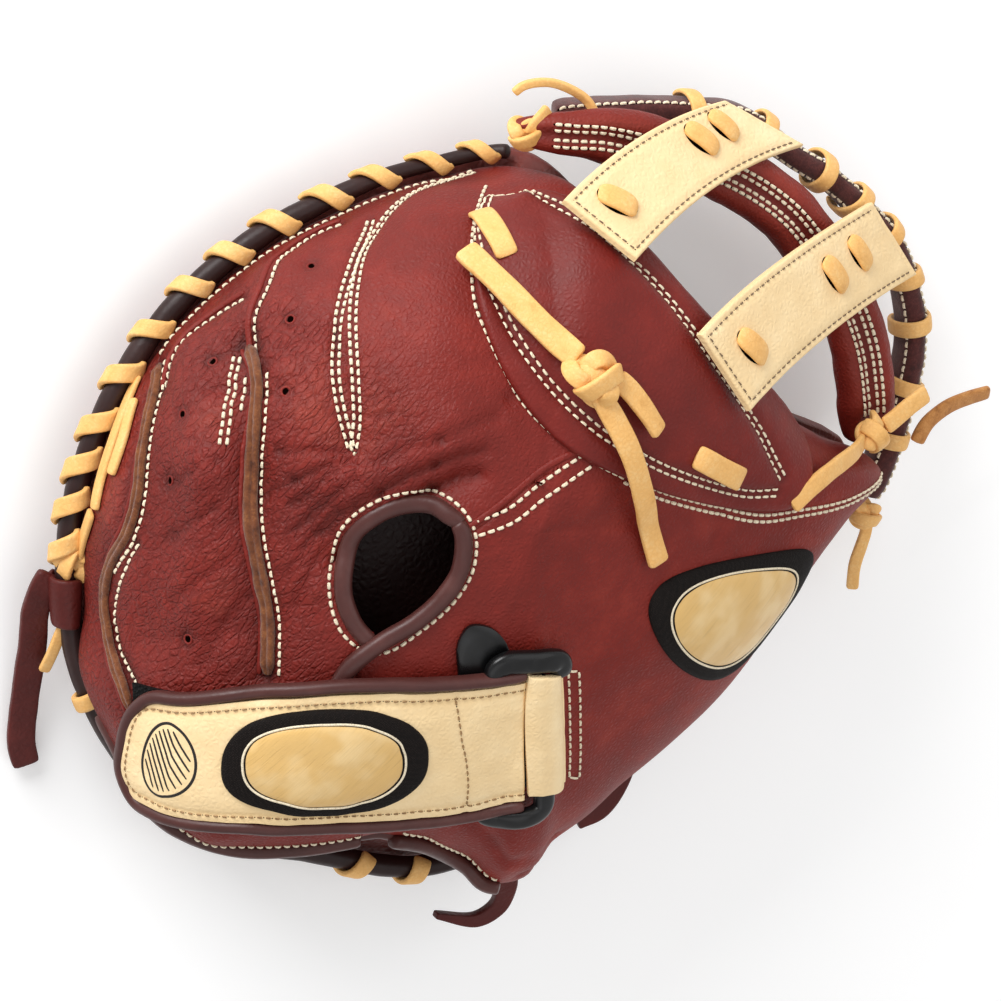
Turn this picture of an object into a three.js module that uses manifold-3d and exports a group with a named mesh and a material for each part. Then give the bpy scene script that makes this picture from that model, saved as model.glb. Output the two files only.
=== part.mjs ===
// A softball catcher mitt for the left hand, resting palm down on its padded rim.
// Millimetres. +X runs from the wrist to the web, +Y to the fingers, +Z away from the pocket.
import * as THREE from "three";
import { mergeVertices } from "three/addons/utils/BufferGeometryUtils.js";
import Module from "manifold-3d";

const wasm = await Module();
wasm.setup();

// Driving sizes
const CROWN_HEIGHT = 112; // top of the back above the floor
const CROWN = [0, 10]; // where the crown stands in plan, before the shift to the middle
const PLAN_SHIFT = [9.08, 14.61]; // moves the whole mitt so that its box is centred
const SHELL_WALL = 2.6; // leather and felt of the back
const PAD_CROWN = 84; // top of the palm pad under the hand
const POCKET_CROWN = 70; // deepest point of the ball pocket
const WELT_RADIUS = 4; // rolled welt round the laced rim
const WELT_STEP = 4.5; // from the edge of the back to the middle of the welt
const BINDING_WIDTH = 5.6; // rolled binding of every raw edge
const BINDING_HEIGHT = 5;
const LACE_WIDTH = 7;
const LACE_THICK = 2;
const PIECE_GAP = 0.4; // air between two pieces that touch

// The back, read as rows round the crown. Angles in degrees from +X toward +Y.
// bearing, rim reach, rim height, edge reach, edge height, level share, drop, flank share, bulge
const BACK_ROWS = [
  [0, 88, 72, 88, 74, 0.6, 4, 0.55, 0],
  [16, 91, 66, 91, 67, 0.62, 6, 0.6, 0],
  [27, 101, 46, 101, 47, 0.66, 12, 0.66, 1],
  [35, 97, 24, 97, 25, 0.68, 14, 0.66, 3],
  [48, 92, 21, 92, 22, 0.62, 12, 0.62, 5],
  [65, 91, 21, 91, 22, 0.58, 10, 0.62, 6],
  [85, 95, 21, 95, 22, 0.56, 10, 0.6, 6],
  [105, 103, 21, 103, 22, 0.56, 10, 0.58, 6],
  [125, 113, 21, 113, 22, 0.58, 11, 0.58, 5],
  [143, 124.5, 22, 124.5, 23, 0.62, 13, 0.58, 4],
  [153, 130, 22, 130, 24.5, 0.66, 14, 0.58, 3],
  [160, 134.5, 22, 141, 33, 0.68, 14, 0.58, 1],
  [168, 138.5, 22, 145, 44, 0.72, 14, 0.6, 0],
  [176, 142, 22, 149, 57, 0.74, 13, 0.55, -2],
  [182, 145, 22, 148, 66, 0.74, 12, 0.5, -4],
  [187, 146, 22, 141, 71, 0.7, 10, 0.45, -5],
  [192, 147, 22, 134, 74, 0.66, 8, 0.4, -6],
  [199, 145, 22, 125, 76, 0.66, 7, 0.4, -6],
  [206, 143, 22, 118, 77, 0.66, 6, 0.4, -6],
  [212, 144, 22, 119, 73.5, 0.68, 7, 0.4, -5],
  [217, 146, 22, 124, 68, 0.7, 8, 0.4, -4],
  [222, 147, 22, 131, 58, 0.71, 10, 0.5, -2],
  [227, 146, 22, 145, 47, 0.72, 12, 0.6, 0],
  [231, 143, 22, 147, 40, 0.7, 13, 0.6, 2],
  [236, 137, 22, 139, 27.5, 0.68, 14, 0.62, 8],
  [242, 131, 22, 132, 24, 0.66, 14, 0.62, 17],
  [250, 124, 22, 124, 23, 0.62, 14, 0.62, 24],
  [264, 117, 22, 117, 23, 0.6, 14, 0.62, 34],
  [280, 117, 22, 117, 23, 0.6, 14, 0.62, 34],
  [294, 123, 23, 123, 24, 0.62, 16, 0.6, 27],
  [303, 138, 27, 138, 28, 0.66, 20, 0.56, 16],
  [309, 149, 36, 149, 37, 0.7, 26, 0.55, 6],
  [315, 124, 50, 124, 51, 0.68, 20, 0.6, 2],
  [324, 103, 63, 103, 64, 0.64, 12, 0.6, 0],
  [342, 89, 71, 89, 73, 0.6, 5, 0.55, 0],
];

// How far the foot of the palm draws in below its lip
const PALM_TUCK = 4.5;
// The padded palm: bearing, top of its rim, foot height, lip beyond the rim reach
const PALM_ROWS = [
  [0, 64, 50, 1],
  [16, 55, 39, 1],
  [25, 40, 17, 2],
  [32, 22, 3, 4],
  [38, 18, 0, 4.5],
  [60, 17.5, 0, 2.5],
  [120, 17.5, 0, 2.5],
  [150, 18, 0, 3.5],
  [180, 18.5, 0, 6],
  [230, 18, 0, 7],
  [264, 15, 0, 7],
  [288, 15, 0, 7],
  [298, 17, 0, 7],
  [304, 20, 3, 6],
  [310, 27, 12, 3],
  [316, 42, 28, 1],
  [326, 55, 40, 1],
  [342, 62, 48, 1],
];

// Soft forms of the back, each a ridge or a valley between two surface points.
// bearing, share, bearing, share, half width, height
const RELIEF_ROWS = [
  [50, 0.85, 78, 0.34, 15, 2.6], // index finger stall
  [88, 0.88, 118, 0.46, 11, 3], // middle and ring finger stalls
  [108, 0.86, 124, 0.62, 10, 3.4], // little finger stall
  [124, 0.62, 152, 0.56, 11, 3.4],
  [66, 0.86, 107, 0.39, 5, -2], // sewn groove between the stalls
  [101, 0.74, 122, 0.53, 6, -2.4], // raised seam's groove
  [122, 0.53, 163, 0.41, 6, -2.4],
  [96, 0.18, 140, 0.31, 7, -3.6], // crease above the finger hole
  [80, 0.26, 118, 0.33, 8, 2.4], // roll of leather above that crease
  [262, 0.3, 296, 0.62, 16, 2.2], // thumb stall
];

// Plan outlines, x and y
const HOLE_LOOP = [
  [-48.6, 44.7], [-38.1, 50.2], [-25.2, 48.1], [-15.3, 39.5], [-14.2, 32.1],
  [-17.2, 25.6], [-24.2, 20.1], [-33.8, 17.6], [-46.5, 18.3], [-58.5, 21.6],
  [-60, 30], [-55.5, 38],
];
const PANEL_SEAM = [[-18, 27], [-11.6, 25], [9, 21.6], [27, 15.5], [60, 12], [110, 10]];
const WRIST_SLIT = [[-57, 25], [-66, 23], [-74, 16], [-93, -2], [-106, -26], [-135, -62]];

// bearing table reader: periodic, smooth, never overshooting its rows
function readRows(rows, bearing) {
  const b = ((bearing % 360) + 360) % 360;
  const n = rows.length;
  let i = n - 1;
  for (let k = 0; k < n; k++) if (rows[k][0] <= b) i = k;
  const pick = (k) => {
    const turns = Math.floor(k / n);
    return { at: rows[k - turns * n][0] + 360 * turns, row: rows[k - turns * n] };
  };
  const [p0, p1, p2, p3] = [pick(i - 1), pick(i), pick(i + 1), pick(i + 2)];
  const span = p2.at - p1.at;
  const t = (b - p1.at) / span;
  const slope = (a, c, d, col) => {
    const left = (c.row[col] - a.row[col]) / (c.at - a.at);
    const right = (d.row[col] - c.row[col]) / (d.at - c.at);
    return left * right <= 0 ? 0 : (2 * left * right) / (left + right);
  };
  return p1.row.slice(1).map((_, j) => {
    const col = j + 1;
    const m1 = slope(p0, p1, p2, col);
    const m2 = slope(p1, p2, p3, col);
    return (
      (2 * t ** 3 - 3 * t ** 2 + 1) * p1.row[col] + (t ** 3 - 2 * t ** 2 + t) * span * m1 +
      (-2 * t ** 3 + 3 * t ** 2) * p2.row[col] + (t ** 3 - t ** 2) * span * m2
    );
  });
}

const bezier = (a, b, c, d, t) =>
  (1 - t) ** 3 * a + 3 * (1 - t) ** 2 * t * b + 3 * (1 - t) * t ** 2 * c + t ** 3 * d;

const onBearing = (bearing, reach, height) => {
  const a = THREE.MathUtils.degToRad(bearing);
  return new THREE.Vector3(CROWN[0] + reach * Math.cos(a), CROWN[1] + reach * Math.sin(a), height);
};

// The smooth back before its soft forms: share 0 is the crown, 1 the edge
function smoothBack(bearing, share) {
  const [, , reach, edge, level, drop, flank, bulge] = readRows(BACK_ROWS, bearing);
  return onBearing(
    bearing,
    bezier(0, level * reach, reach + bulge, reach, share),
    bezier(CROWN_HEIGHT, CROWN_HEIGHT - drop, edge + flank * (CROWN_HEIGHT - edge), edge, share),
  );
}

const ridges = RELIEF_ROWS.map(([b0, s0, b1, s1, width, height]) => ({
  line: new THREE.Line3(smoothBack(b0, s0), smoothBack(b1, s1)),
  width,
  height,
}));

function relief(point, share) {
  const near = new THREE.Vector3();
  const fade = share > 0.9 ? Math.max(0, (1 - share) / 0.1) : 1;
  return ridges.reduce((sum, { line, width, height }) => {
    line.closestPointToPoint(point, true, near);
    return sum + fade * height * Math.exp(-((near.distanceTo(point) / width) ** 2));
  }, 0);
}

function backNormal(bearing, share) {
  if (share < 0.01) return new THREE.Vector3(0, 0, 1);
  const s = Math.min(share, 0.995);
  const along = smoothBack(bearing, s + 0.004).sub(smoothBack(bearing, s - 0.004));
  const round = smoothBack(bearing + 0.6, s).sub(smoothBack(bearing - 0.6, s));
  return along.cross(round).normalize();
}

// A point of the back, raised by lift along the surface's normal
function onBack(bearing, share, lift = 0) {
  const base = smoothBack(bearing, share);
  return base.addScaledVector(backNormal(bearing, share), relief(base, share) + lift);
}

// The bearing and share under a plan point
function polar(x, y) {
  const dx = x - CROWN[0];
  const dy = y - CROWN[1];
  const bearing = THREE.MathUtils.radToDeg(Math.atan2(dy, dx));
  const want = Math.hypot(dx, dy);
  const reachAt = (share) => {
    const p = smoothBack(bearing, share);
    return Math.hypot(p.x - CROWN[0], p.y - CROWN[1]);
  };
  let low = 0;
  let high = 0.02;
  while (high < 1 && reachAt(high) < want) high += 0.02;
  high = Math.min(high, 1);
  for (let k = 0; k < 24; k++) {
    const mid = (low + high) / 2;
    if (reachAt(mid) < want) low = mid;
    else high = mid;
  }
  return [bearing, (low + high) / 2];
}
const overPlan = (x, y, lift = 0) => onBack(...polar(x, y), lift);

// A closed mesh from points and triangles
function solid(points, triangles) {
  const g = new THREE.BufferGeometry();
  g.setAttribute("position", new THREE.Float32BufferAttribute(points.flatMap((p) => [p.x, p.y, p.z]), 3));
  g.setIndex(triangles);
  const m = new wasm.Manifold(meshOf(g));
  if (m.volume() < 0) g.setIndex(triangles.flatMap((_, k, all) => (k % 3 ? [] : [all[k], all[k + 2], all[k + 1]])));
  return g;
}

function meshOf(geometry) {
  const g = geometry.clone();
  for (const name of Object.keys(g.attributes)) if (name !== "position") g.deleteAttribute(name);
  const merged = mergeVertices(g, 1e-3);
  return new wasm.Mesh({
    numProp: 3,
    vertProperties: new Float32Array(merged.attributes.position.array),
    triVerts: new Uint32Array(merged.index.array),
  });
}

function geometryOf(manifold) {
  const m = manifold.getMesh();
  const g = new THREE.BufferGeometry();
  g.setAttribute("position", new THREE.BufferAttribute(new Float32Array(m.vertProperties), 3));
  g.setIndex(new THREE.BufferAttribute(new Uint32Array(m.triVerts), 1));
  return g;
}

// A body of rings: each ring is a closed loop of points, with a pole point at both ends
function lathed(rings, firstPole, lastPole) {
  const n = rings[0].length;
  const points = [firstPole, ...rings.flat(), lastPole];
  const at = (r, k) => 1 + r * n + ((k + n) % n);
  const tris = [];
  for (let k = 0; k < n; k++) {
    tris.push(0, at(0, k), at(0, k + 1));
    for (let r = 0; r + 1 < rings.length; r++)
      tris.push(at(r, k), at(r + 1, k), at(r + 1, k + 1), at(r, k), at(r + 1, k + 1), at(r, k + 1));
    tris.push(points.length - 1, at(rings.length - 1, k + 1), at(rings.length - 1, k));
  }
  return solid(points, tris);
}

const middle = (loop) =>
  loop.reduce((s, p) => s.add(p), new THREE.Vector3()).divideScalar(loop.length);

// A section swept along a path. Each frame has its point, its side and its up direction.
function swept(frames, section, closed = false) {
  const rings = frames.map((f, i) =>
    section(i / (frames.length - 1)).map(([s, u]) =>
      f.point.clone().addScaledVector(f.side, s).addScaledVector(f.up, u),
    ),
  );
  if (!closed) return lathed(rings, middle(rings[0]), middle(rings.at(-1)));
  const n = rings[0].length;
  const at = (r, k) => (r % rings.length) * n + ((k + n) % n);
  const tris = [];
  for (let r = 0; r < rings.length; r++)
    for (let k = 0; k < n; k++)
      tris.push(at(r, k), at(r + 1, k), at(r + 1, k + 1), at(r, k), at(r + 1, k + 1), at(r, k + 1));
  return solid(rings.flat(), tris);
}

// Frames along a curve, with up taken from a direction given at each step
function frames(points, steps, upAt, closed = false) {
  const curve = new THREE.CatmullRomCurve3(points, closed, "centripetal");
  return Array.from({ length: steps + (closed ? 0 : 1) }, (_, i) => {
    const u = i / steps;
    const point = curve.getPointAt(u);
    const along = curve.getTangentAt(u);
    const up = upAt(u, point).clone();
    up.addScaledVector(along, -up.dot(along)).normalize();
    return { point, up, side: new THREE.Vector3().crossVectors(along, up).normalize() };
  });
}

const skyward = () => new THREE.Vector3(0, 0, 1);
const awayFromBack = (_, point) => backNormal(...polar(point.x, point.y));

// Rounded sections, side and up
const roundSection = (w, h, n = 8) => () =>
  Array.from({ length: n }, (_, k) => {
    const a = (2 * Math.PI * (k + 0.5)) / n;
    return [(w / 2) * Math.cos(a), (h / 2) * Math.sin(a)];
  });
const flatSection = (w, h) => () => [
  [-w / 2, 0], [w / 2, 0], [w / 2, h * 0.7], [w / 2 - h * 0.3, h], [-w / 2 + h * 0.3, h], [-w / 2, h * 0.7],
];
const pathOver = (rows, lift) => rows.map(([x, y, up = lift]) => overPlan(x, y, up));

// A sheet between two edge rows, with its under and upper face given by two heights
function sheetGrid(across, along, place) {
  const points = [];
  for (const face of [0, 1])
    for (let i = 0; i <= along; i++)
      for (let j = 0; j <= across; j++) points.push(place(i / along, j / across, face));
  const at = (face, i, j) => face * (along + 1) * (across + 1) + i * (across + 1) + j;
  const tris = [];
  for (let i = 0; i < along; i++)
    for (let j = 0; j < across; j++) {
      tris.push(at(1, i, j), at(1, i + 1, j), at(1, i + 1, j + 1), at(1, i, j), at(1, i + 1, j + 1), at(1, i, j + 1));
      tris.push(at(0, i, j), at(0, i + 1, j + 1), at(0, i + 1, j), at(0, i, j), at(0, i, j + 1), at(0, i + 1, j + 1));
    }
  const border = [];
  for (let i = 0; i < along; i++) border.push([i, 0]);
  for (let j = 0; j < across; j++) border.push([along, j]);
  for (let i = along; i > 0; i--) border.push([i, across]);
  for (let j = across; j > 0; j--) border.push([0, j]);
  border.forEach(([i, j], k) => {
    const [p, q] = border[(k + 1) % border.length];
    tris.push(at(0, i, j), at(0, p, q), at(1, p, q), at(0, i, j), at(1, p, q), at(1, i, j));
  });
  return solid(points, tris);
}

const curveOf = (rows) => {
  const curve = new THREE.CatmullRomCurve3(rows.map((r) => new THREE.Vector3(...r)), false, "centripetal");
  return (u) => curve.getPoint(u);
};

// A closed plan outline as an upright prism
function prism(outline, low, high) {
  const shape = new THREE.Shape(outline.map(([x, y]) => new THREE.Vector2(x, y)));
  return new wasm.Manifold(
    meshOf(new THREE.ExtrudeGeometry(shape, { depth: high - low, bevelEnabled: false }).translate(0, 0, low)),
  );
}

// A plan path widened to both sides
function widened(path, half) {
  const side = path.map((p, i) => {
    const a = path[Math.max(0, i - 1)];
    const b = path[Math.min(path.length - 1, i + 1)];
    const d = Math.hypot(b[0] - a[0], b[1] - a[1]);
    return [(-(b[1] - a[1]) / d) * half, ((b[0] - a[0]) / d) * half];
  });
  return [
    ...path.map((p, i) => [p[0] + side[i][0], p[1] + side[i][1]]),
    ...path.map((p, i) => [p[0] - side[i][0], p[1] - side[i][1]]).reverse(),
  ];
}

// Materials
const leather = (name, color, roughness = 0.5) =>
  Object.assign(new THREE.MeshStandardMaterial({ color, roughness, metalness: 0 }), { name });
const MAROON = leather("maroon_leather", 0x8a3a30);
const DARK_MAROON = leather("dark_pad_leather", 0x6b2a28);
const PALM = leather("palm_leather", 0x74302a);
const CREAM = leather("cream_leather", 0xecd29b, 0.55);
const LACE = leather("tan_lace", 0xeec070, 0.6);
const BINDING = leather("brown_binding", 0x4a2a28, 0.45);
const SUEDE = leather("raw_edge_suede", 0x8b5030, 0.9);
const PLASTIC = leather("black_plastic", 0x2b2b2b, 0.4);
const EMBROIDERY = leather("gold_patch", 0xd8b06a, 0.6);

const mitt = new THREE.Group();
mitt.name = "softball_catcher_mitt";
mitt.position.set(PLAN_SHIFT[0], PLAN_SHIFT[1], 0);

function add(name, geometry, material) {
  const mesh = new THREE.Mesh(geometry, material);
  mesh.name = name;
  mitt.add(mesh);
  return mesh;
}

// Palm pad, from its top under the hand over the rim and back up into the pocket
const weltHeight = (bearing) => {
  const row = readRows(BACK_ROWS, bearing);
  return row[1] - 0.1 * Math.max(0, row[7]);
};
const BEARINGS = 48;
function palmPad() {
  const rings = [];
  const ring = (place) =>
    rings.push(Array.from({ length: BEARINGS }, (_, k) => place((360 * k) / BEARINGS)));
  const row = (b) => [readRows(BACK_ROWS, b)[0], ...readRows(PALM_ROWS, b)];
  for (const t of [0.12, 0.24, 0.36, 0.48, 0.6, 0.72, 0.84, 0.94, 1])
    ring((b) => {
      const [reach, top] = row(b);
      return onBearing(
        b,
        bezier(0, 0.6 * reach, 0.93 * reach, reach - 3, t),
        bezier(PAD_CROWN, PAD_CROWN, top + 0.45 * (PAD_CROWN - top), top, t),
      );
    });
  const lips = [
    [0.43, 0.93], [1, 0.6], [1.07, 0.3], [0.6, 0.03], [0.2, 0],
  ];
  for (const [out, up] of lips)
    ring((b) => {
      const [reach, top, foot, lip] = row(b);
      const tuck = PALM_TUCK * Math.max(0, 1 - foot / 17) * (1 - up) ** 1.5;
      return onBearing(b, reach + lip * out - tuck, foot + (top - foot) * up);
    });
  for (const [back, up] of [[8, 0], [18, 0], [24, 1.2]])
    ring((b) => {
      const [reach, , foot] = row(b);
      return onBearing(b, reach - back, foot + up);
    });
  for (const t of [0.14, 0.3, 0.46, 0.62, 0.8])
    ring((b) => {
      const [reach, , foot] = row(b);
      return onBearing(
        b,
        bezier(reach - 24, reach - 34, 0.5 * reach, 0, t),
        bezier(foot + 1.2, foot + 0.4 * (POCKET_CROWN - foot), POCKET_CROWN, POCKET_CROWN, t),
      );
    });
  return lathed(rings, onBearing(0, 0, PAD_CROWN), onBearing(0, 0, POCKET_CROWN));
}
add("palm_pad", palmPad(), PALM);

// Back shell, cut by the finger hole and parted along the seam and the wrist slit
const SHARES = [0.09, 0.18, 0.27, 0.36, 0.45, 0.54, 0.63, 0.72, 0.81, 0.9, 1];
function backShell(grow = 0) {
  const loop = (share, lift) =>
    Array.from({ length: BEARINGS }, (_, k) => onBack((360 * k) / BEARINGS, share, lift));
  const outer = SHARES.map((s) => loop(s, grow));
  const inner = SHARES.map((s) => loop(s, -SHELL_WALL - grow)).reverse();
  return lathed([...outer, ...inner], onBack(0, 0, grow), onBack(0, 0, -SHELL_WALL - grow));
}
const holeCurve = new THREE.CatmullRomCurve3(
  HOLE_LOOP.map(([x, y]) => new THREE.Vector3(x, y, 0)), true, "centripetal");
const holeOutline = holeCurve.getSpacedPoints(28).slice(0, 28);
function offsetLoop(points, by) {
  const n = points.length;
  const area = points.reduce((s, p, i) => s + p.x * points[(i + 1) % n].y - points[(i + 1) % n].x * p.y, 0);
  return points.map((p, i) => {
    const d = points[(i + 1) % n].clone().sub(points[(i - 1 + n) % n]).normalize();
    const out = area > 0 ? new THREE.Vector3(d.y, -d.x, 0) : new THREE.Vector3(-d.y, d.x, 0);
    return [p.x + out.x * by, p.y + out.y * by];
  });
}
const bodies = new wasm.Manifold(meshOf(backShell()))
  .subtract(prism(offsetLoop(holeOutline, BINDING_WIDTH / 2 + PIECE_GAP + 0.2), 70, 130))
  .subtract(prism(widened(PANEL_SEAM, 0.3), 20, 140))
  .subtract(prism(widened(WRIST_SLIT, 0.3), 20, 140))
  .decompose()
  .filter((b) => b.volume() > 50);
const midY = (b) => {
  const box = b.boundingBox();
  return (box.min[1] + box.max[1]) / 2;
};
bodies.sort((a, b) => midY(b) - midY(a));
add("finger_back", geometryOf(bodies[0]), MAROON);
add("thumb_back", geometryOf(bodies[1]), MAROON);

// Rolled binding of the finger hole, one length on each panel
const holeRows = (rows) => rows.map(([x, y]) => overPlan(x, y, -0.8));
const FINGER_HOLE_ROWS = [
  [-14.6, 33.6], [-15.6, 39.8], [-25.2, 48.1], [-38.1, 50.2], [-48.6, 44.7], [-55.5, 38], [-60.4, 29.6],
];
const THUMB_HOLE_ROWS = [[-15.4, 28.6], [-18, 24.8], [-24.2, 20.1], [-33.8, 17.6], [-46.5, 18.3], [-56, 20.6]];
add("hole_binding_finger",
  swept(frames(holeRows(FINGER_HOLE_ROWS), 16, awayFromBack), roundSection(BINDING_WIDTH, BINDING_HEIGHT, 7)), BINDING);
add("hole_binding_thumb",
  swept(frames(holeRows(THUMB_HOLE_ROWS), 12, awayFromBack), roundSection(BINDING_WIDTH, BINDING_HEIGHT, 7)), BINDING);

// The back grown by a gap, to trim what lies against it
const grownBack = new wasm.Manifold(meshOf(backShell(PIECE_GAP)));
function clearOfBack(geometry) {
  const parts = new wasm.Manifold(meshOf(geometry)).subtract(grownBack).decompose();
  return geometryOf(parts.sort((a, b) => b.volume() - a.volume())[0]);
}

// Crotch pad: inner edge and free edge, in plan
const CROTCH_INNER = [
  [68, 71.5, 0], [57, 73, 0], [42, 66.5, 0], [32, 53, 0], [27, 38.5, 0], [26, 20, 0], [31, -1, 0], [40, -28, 0],
  [50, -50, 0], [60, -66, 0],
];
const CROTCH_FREE = [
  [77.5, 64, 0], [84, 58.5, 0], [88.5, 49, 0], [89, 32, 0], [87, 10, 0], [86, -8, 0], [84, -28, 0], [84, -44, 0],
  [81, -58, 0], [71, -70, 0],
];
const crotchInner = curveOf(CROTCH_INNER);
const crotchFree = curveOf(CROTCH_FREE);
const CROTCH_FLOOR = 1.2;
function crotchPlace(u, v, lift) {
  const p = crotchInner(u).lerp(crotchFree(u), v);
  return overPlan(p.x, p.y, lift);
}
const crotchHeight = (u, v) =>
  CROTCH_FLOOR + 1.4 + 4 * Math.sin(Math.PI * Math.min(1, v * 0.75 + 0.04)) ** 0.8 * Math.sin(Math.PI * (0.04 + 0.92 * u)) ** 0.5;
add("crotch_pad",
  clearOfBack(sheetGrid(5, 14, (u, v, face) => crotchPlace(u, v, face ? crotchHeight(u, v) : CROTCH_FLOOR))), DARK_MAROON);

// Web: padded inner roll and laced outer band
const ROLL_ROWS = [
  [96, 70.5, 47], [109, 56, 50], [119, 37, 50.5], [129, 13, 50], [133, -10, 50], [131.5, -28, 50],
  [127.5, -48, 49.5], [120.5, -66, 48.5], [110.5, -82, 47], [105, -88, 46],
];
const BAND_ROWS = [
  [104.5, 66, 32], [108.5, 62, 33], [113.5, 57, 33.5], [123, 47, 34], [136, 31.5, 35], [145.5, 18, 35], [149.5, -6, 35],
  [152.5, -20, 35], [153.5, -37, 35], [152.5, -57, 34], [145, -77, 32], [136, -90, 31], [124, -100.5, 30],
  [113, -108, 29], [101, -115, 28], [93.5, -119, 27], [86.5, -122.5, 26],
];
const toVectors = (rows) => rows.map((r) => new THREE.Vector3(...r));
add("web_inner_roll",
  swept(frames(toVectors(ROLL_ROWS), 18, skyward), roundSection(20, 15, 9)), MAROON);
add("web_outer_band",
  swept(frames(toVectors(BAND_ROWS), 20, skyward), roundSection(8, 14, 6)), DARK_MAROON);

// Web straps: two edges each, then the sheet between them
const STRAP_THICK = 3.2;
const UPPER_STRAP = [
  [[82, 62, 83], [95, 58, 73], [107, 52, 65], [122, 44, 61.5], [133, 37, 57], [141.5, 30, 45]],
  [[83, 37, 94.5], [100, 29, 82], [117, 18, 68], [130, 8.5, 63.5], [142, 0.5, 58], [149.5, -5, 45]],
];
const LOWER_STRAP = [
  [[81, 8.6, 101], [97, 2, 93], [114, -6, 80], [129, -17, 69], [143, -27, 60], [153.5, -35, 45]],
  [[73, -23.5, 102], [91, -33, 95], [109, -42, 82], [124, -51, 70], [138, -60, 59], [148.5, -67, 45]],
];
function webStrap([rowsA, rowsB]) {
  const a = curveOf(rowsA);
  const b = curveOf(rowsB);
  return sheetGrid(3, 11, (u, v, face) => {
    const place = (s, w) => a(s).lerp(b(s), w);
    const p = place(u, v);
    const along = place(Math.min(1, u + 0.02), v).sub(place(Math.max(0, u - 0.02), v));
    const over = b(u).sub(a(u));
    const up = along.cross(over).normalize();
    if (up.z < 0) up.negate();
    return p.addScaledVector(up, face ? STRAP_THICK : 0);
  });
}
add("web_strap_upper", webStrap(UPPER_STRAP), CREAM);
add("web_strap_lower", webStrap(LOWER_STRAP), CREAM);

// Rolled welt round the laced rim, from the finger side of the web round to the thumb tip
const WELT_FROM = 34;
const WELT_TO = 303;
const weltPoint = (b, out = WELT_STEP, up = 0) =>
  onBearing(b, readRows(BACK_ROWS, b)[0] + out, weltHeight(b) + up);
add("rim_welt",
  swept(
    frames(Array.from({ length: 46 }, (_, i) => weltPoint(WELT_FROM + ((WELT_TO - WELT_FROM) * i) / 45)), 46, skyward),
    roundSection(2 * WELT_RADIUS, 2 * WELT_RADIUS, 7)),
  BINDING);

// Lace loops: each wraps the outer side of the welt
const LOOP_BEARINGS = [
  38, 47.5, 58.5, 69, 80, 90, 99, 108.5, 117, 125.5, 132, 138, 144, 166, 190, 213, 221, 250, 270, 291.5,
];
function laceLoop(bearing, width = LACE_WIDTH, degrees = [-66, -22, 22, 66, 104]) {
  const centre = weltPoint(bearing);
  const along = weltPoint(bearing + 1).sub(weltPoint(bearing - 1)).normalize();
  const up = new THREE.Vector3(0, 0, 1).addScaledVector(along, -along.z).normalize();
  const out = new THREE.Vector3().crossVectors(along, up);
  if (out.dot(new THREE.Vector3(centre.x - CROWN[0], centre.y - CROWN[1], 0)) < 0) out.negate();
  const inside = (WELT_RADIUS + PIECE_GAP + 0.3) / Math.cos(Math.PI / 8);
  const rings = degrees.map((angle) => {
    const a = THREE.MathUtils.degToRad(angle);
    const radial = out.clone().multiplyScalar(Math.cos(a)).addScaledVector(up, Math.sin(a));
    return [[-0.5, 0], [0.5, 0], [0.42, LACE_THICK], [-0.42, LACE_THICK]].map(([s, r]) =>
      centre.clone().addScaledVector(along, s * width).addScaledVector(radial, inside + r),
    );
  });
  return lathed(rings, middle(rings[0]), middle(rings.at(-1)));
}
add("heel_loop", laceLoop(151.5, 17), DARK_MAROON);
LOOP_BEARINGS.forEach((b, i) => add("lace_loop_" + String(i + 1).padStart(2, "0"), laceLoop(b), LACE));

// Wrist strap over both panels, with its rolled binding, hook patch, tab and buckle
const STRAP_UPPER_ROWS = [[-121, 56, 0], [-112, 47.5, 0], [-97.6, 38.5, 0], [-73, 19, 0], [-50, -5.5, 0], [-35, -21, 0]];
const STRAP_LOWER_ROWS = [[-147.5, 31, 0], [-142.5, 21.5, 0], [-121, -1, 0], [-101, -25, 0], [-80.5, -47.5, 0], [-68.5, -57.5, 0]];
const strapUpper = curveOf(STRAP_UPPER_ROWS);
const strapLower = curveOf(STRAP_LOWER_ROWS);
const STRAP_LIFT = 3.4;
const strapSurface = (u, v, lift) => {
  const p = strapUpper(u).lerp(strapLower(u), v);
  return overPlan(p.x, p.y, lift + 1.4 * Math.sin(Math.PI * u));
};
const roundedEnd = (u, v) => {
  const tuck = 0.1 * Math.abs(2 * v - 1) ** 3;
  return tuck + u * (1 - tuck);
};
add("wrist_strap",
  sheetGrid(5, 12, (u, v, face) => {
    const across = 0.1 + 0.8 * v;
    return strapSurface(roundedEnd(0.045 + 0.955 * u, across), across, STRAP_LIFT + (face ? 2.6 : 0));
  }), CREAM);
const bindingPath = [];
for (let i = 10; i >= 0; i--) bindingPath.push(strapSurface(roundedEnd(i / 10, 0), 0.0, STRAP_LIFT + 1.3));
for (const v of [0.2, 0.4, 0.6, 0.8]) bindingPath.push(strapSurface(roundedEnd(0, v), v, STRAP_LIFT + 1.3));
for (let i = 0; i <= 10; i++) bindingPath.push(strapSurface(roundedEnd(i / 10, 1), 1, STRAP_LIFT + 1.3));
add("strap_binding", swept(frames(bindingPath, 30, awayFromBack), roundSection(3.6, 4.4, 5)), BINDING);

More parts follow.
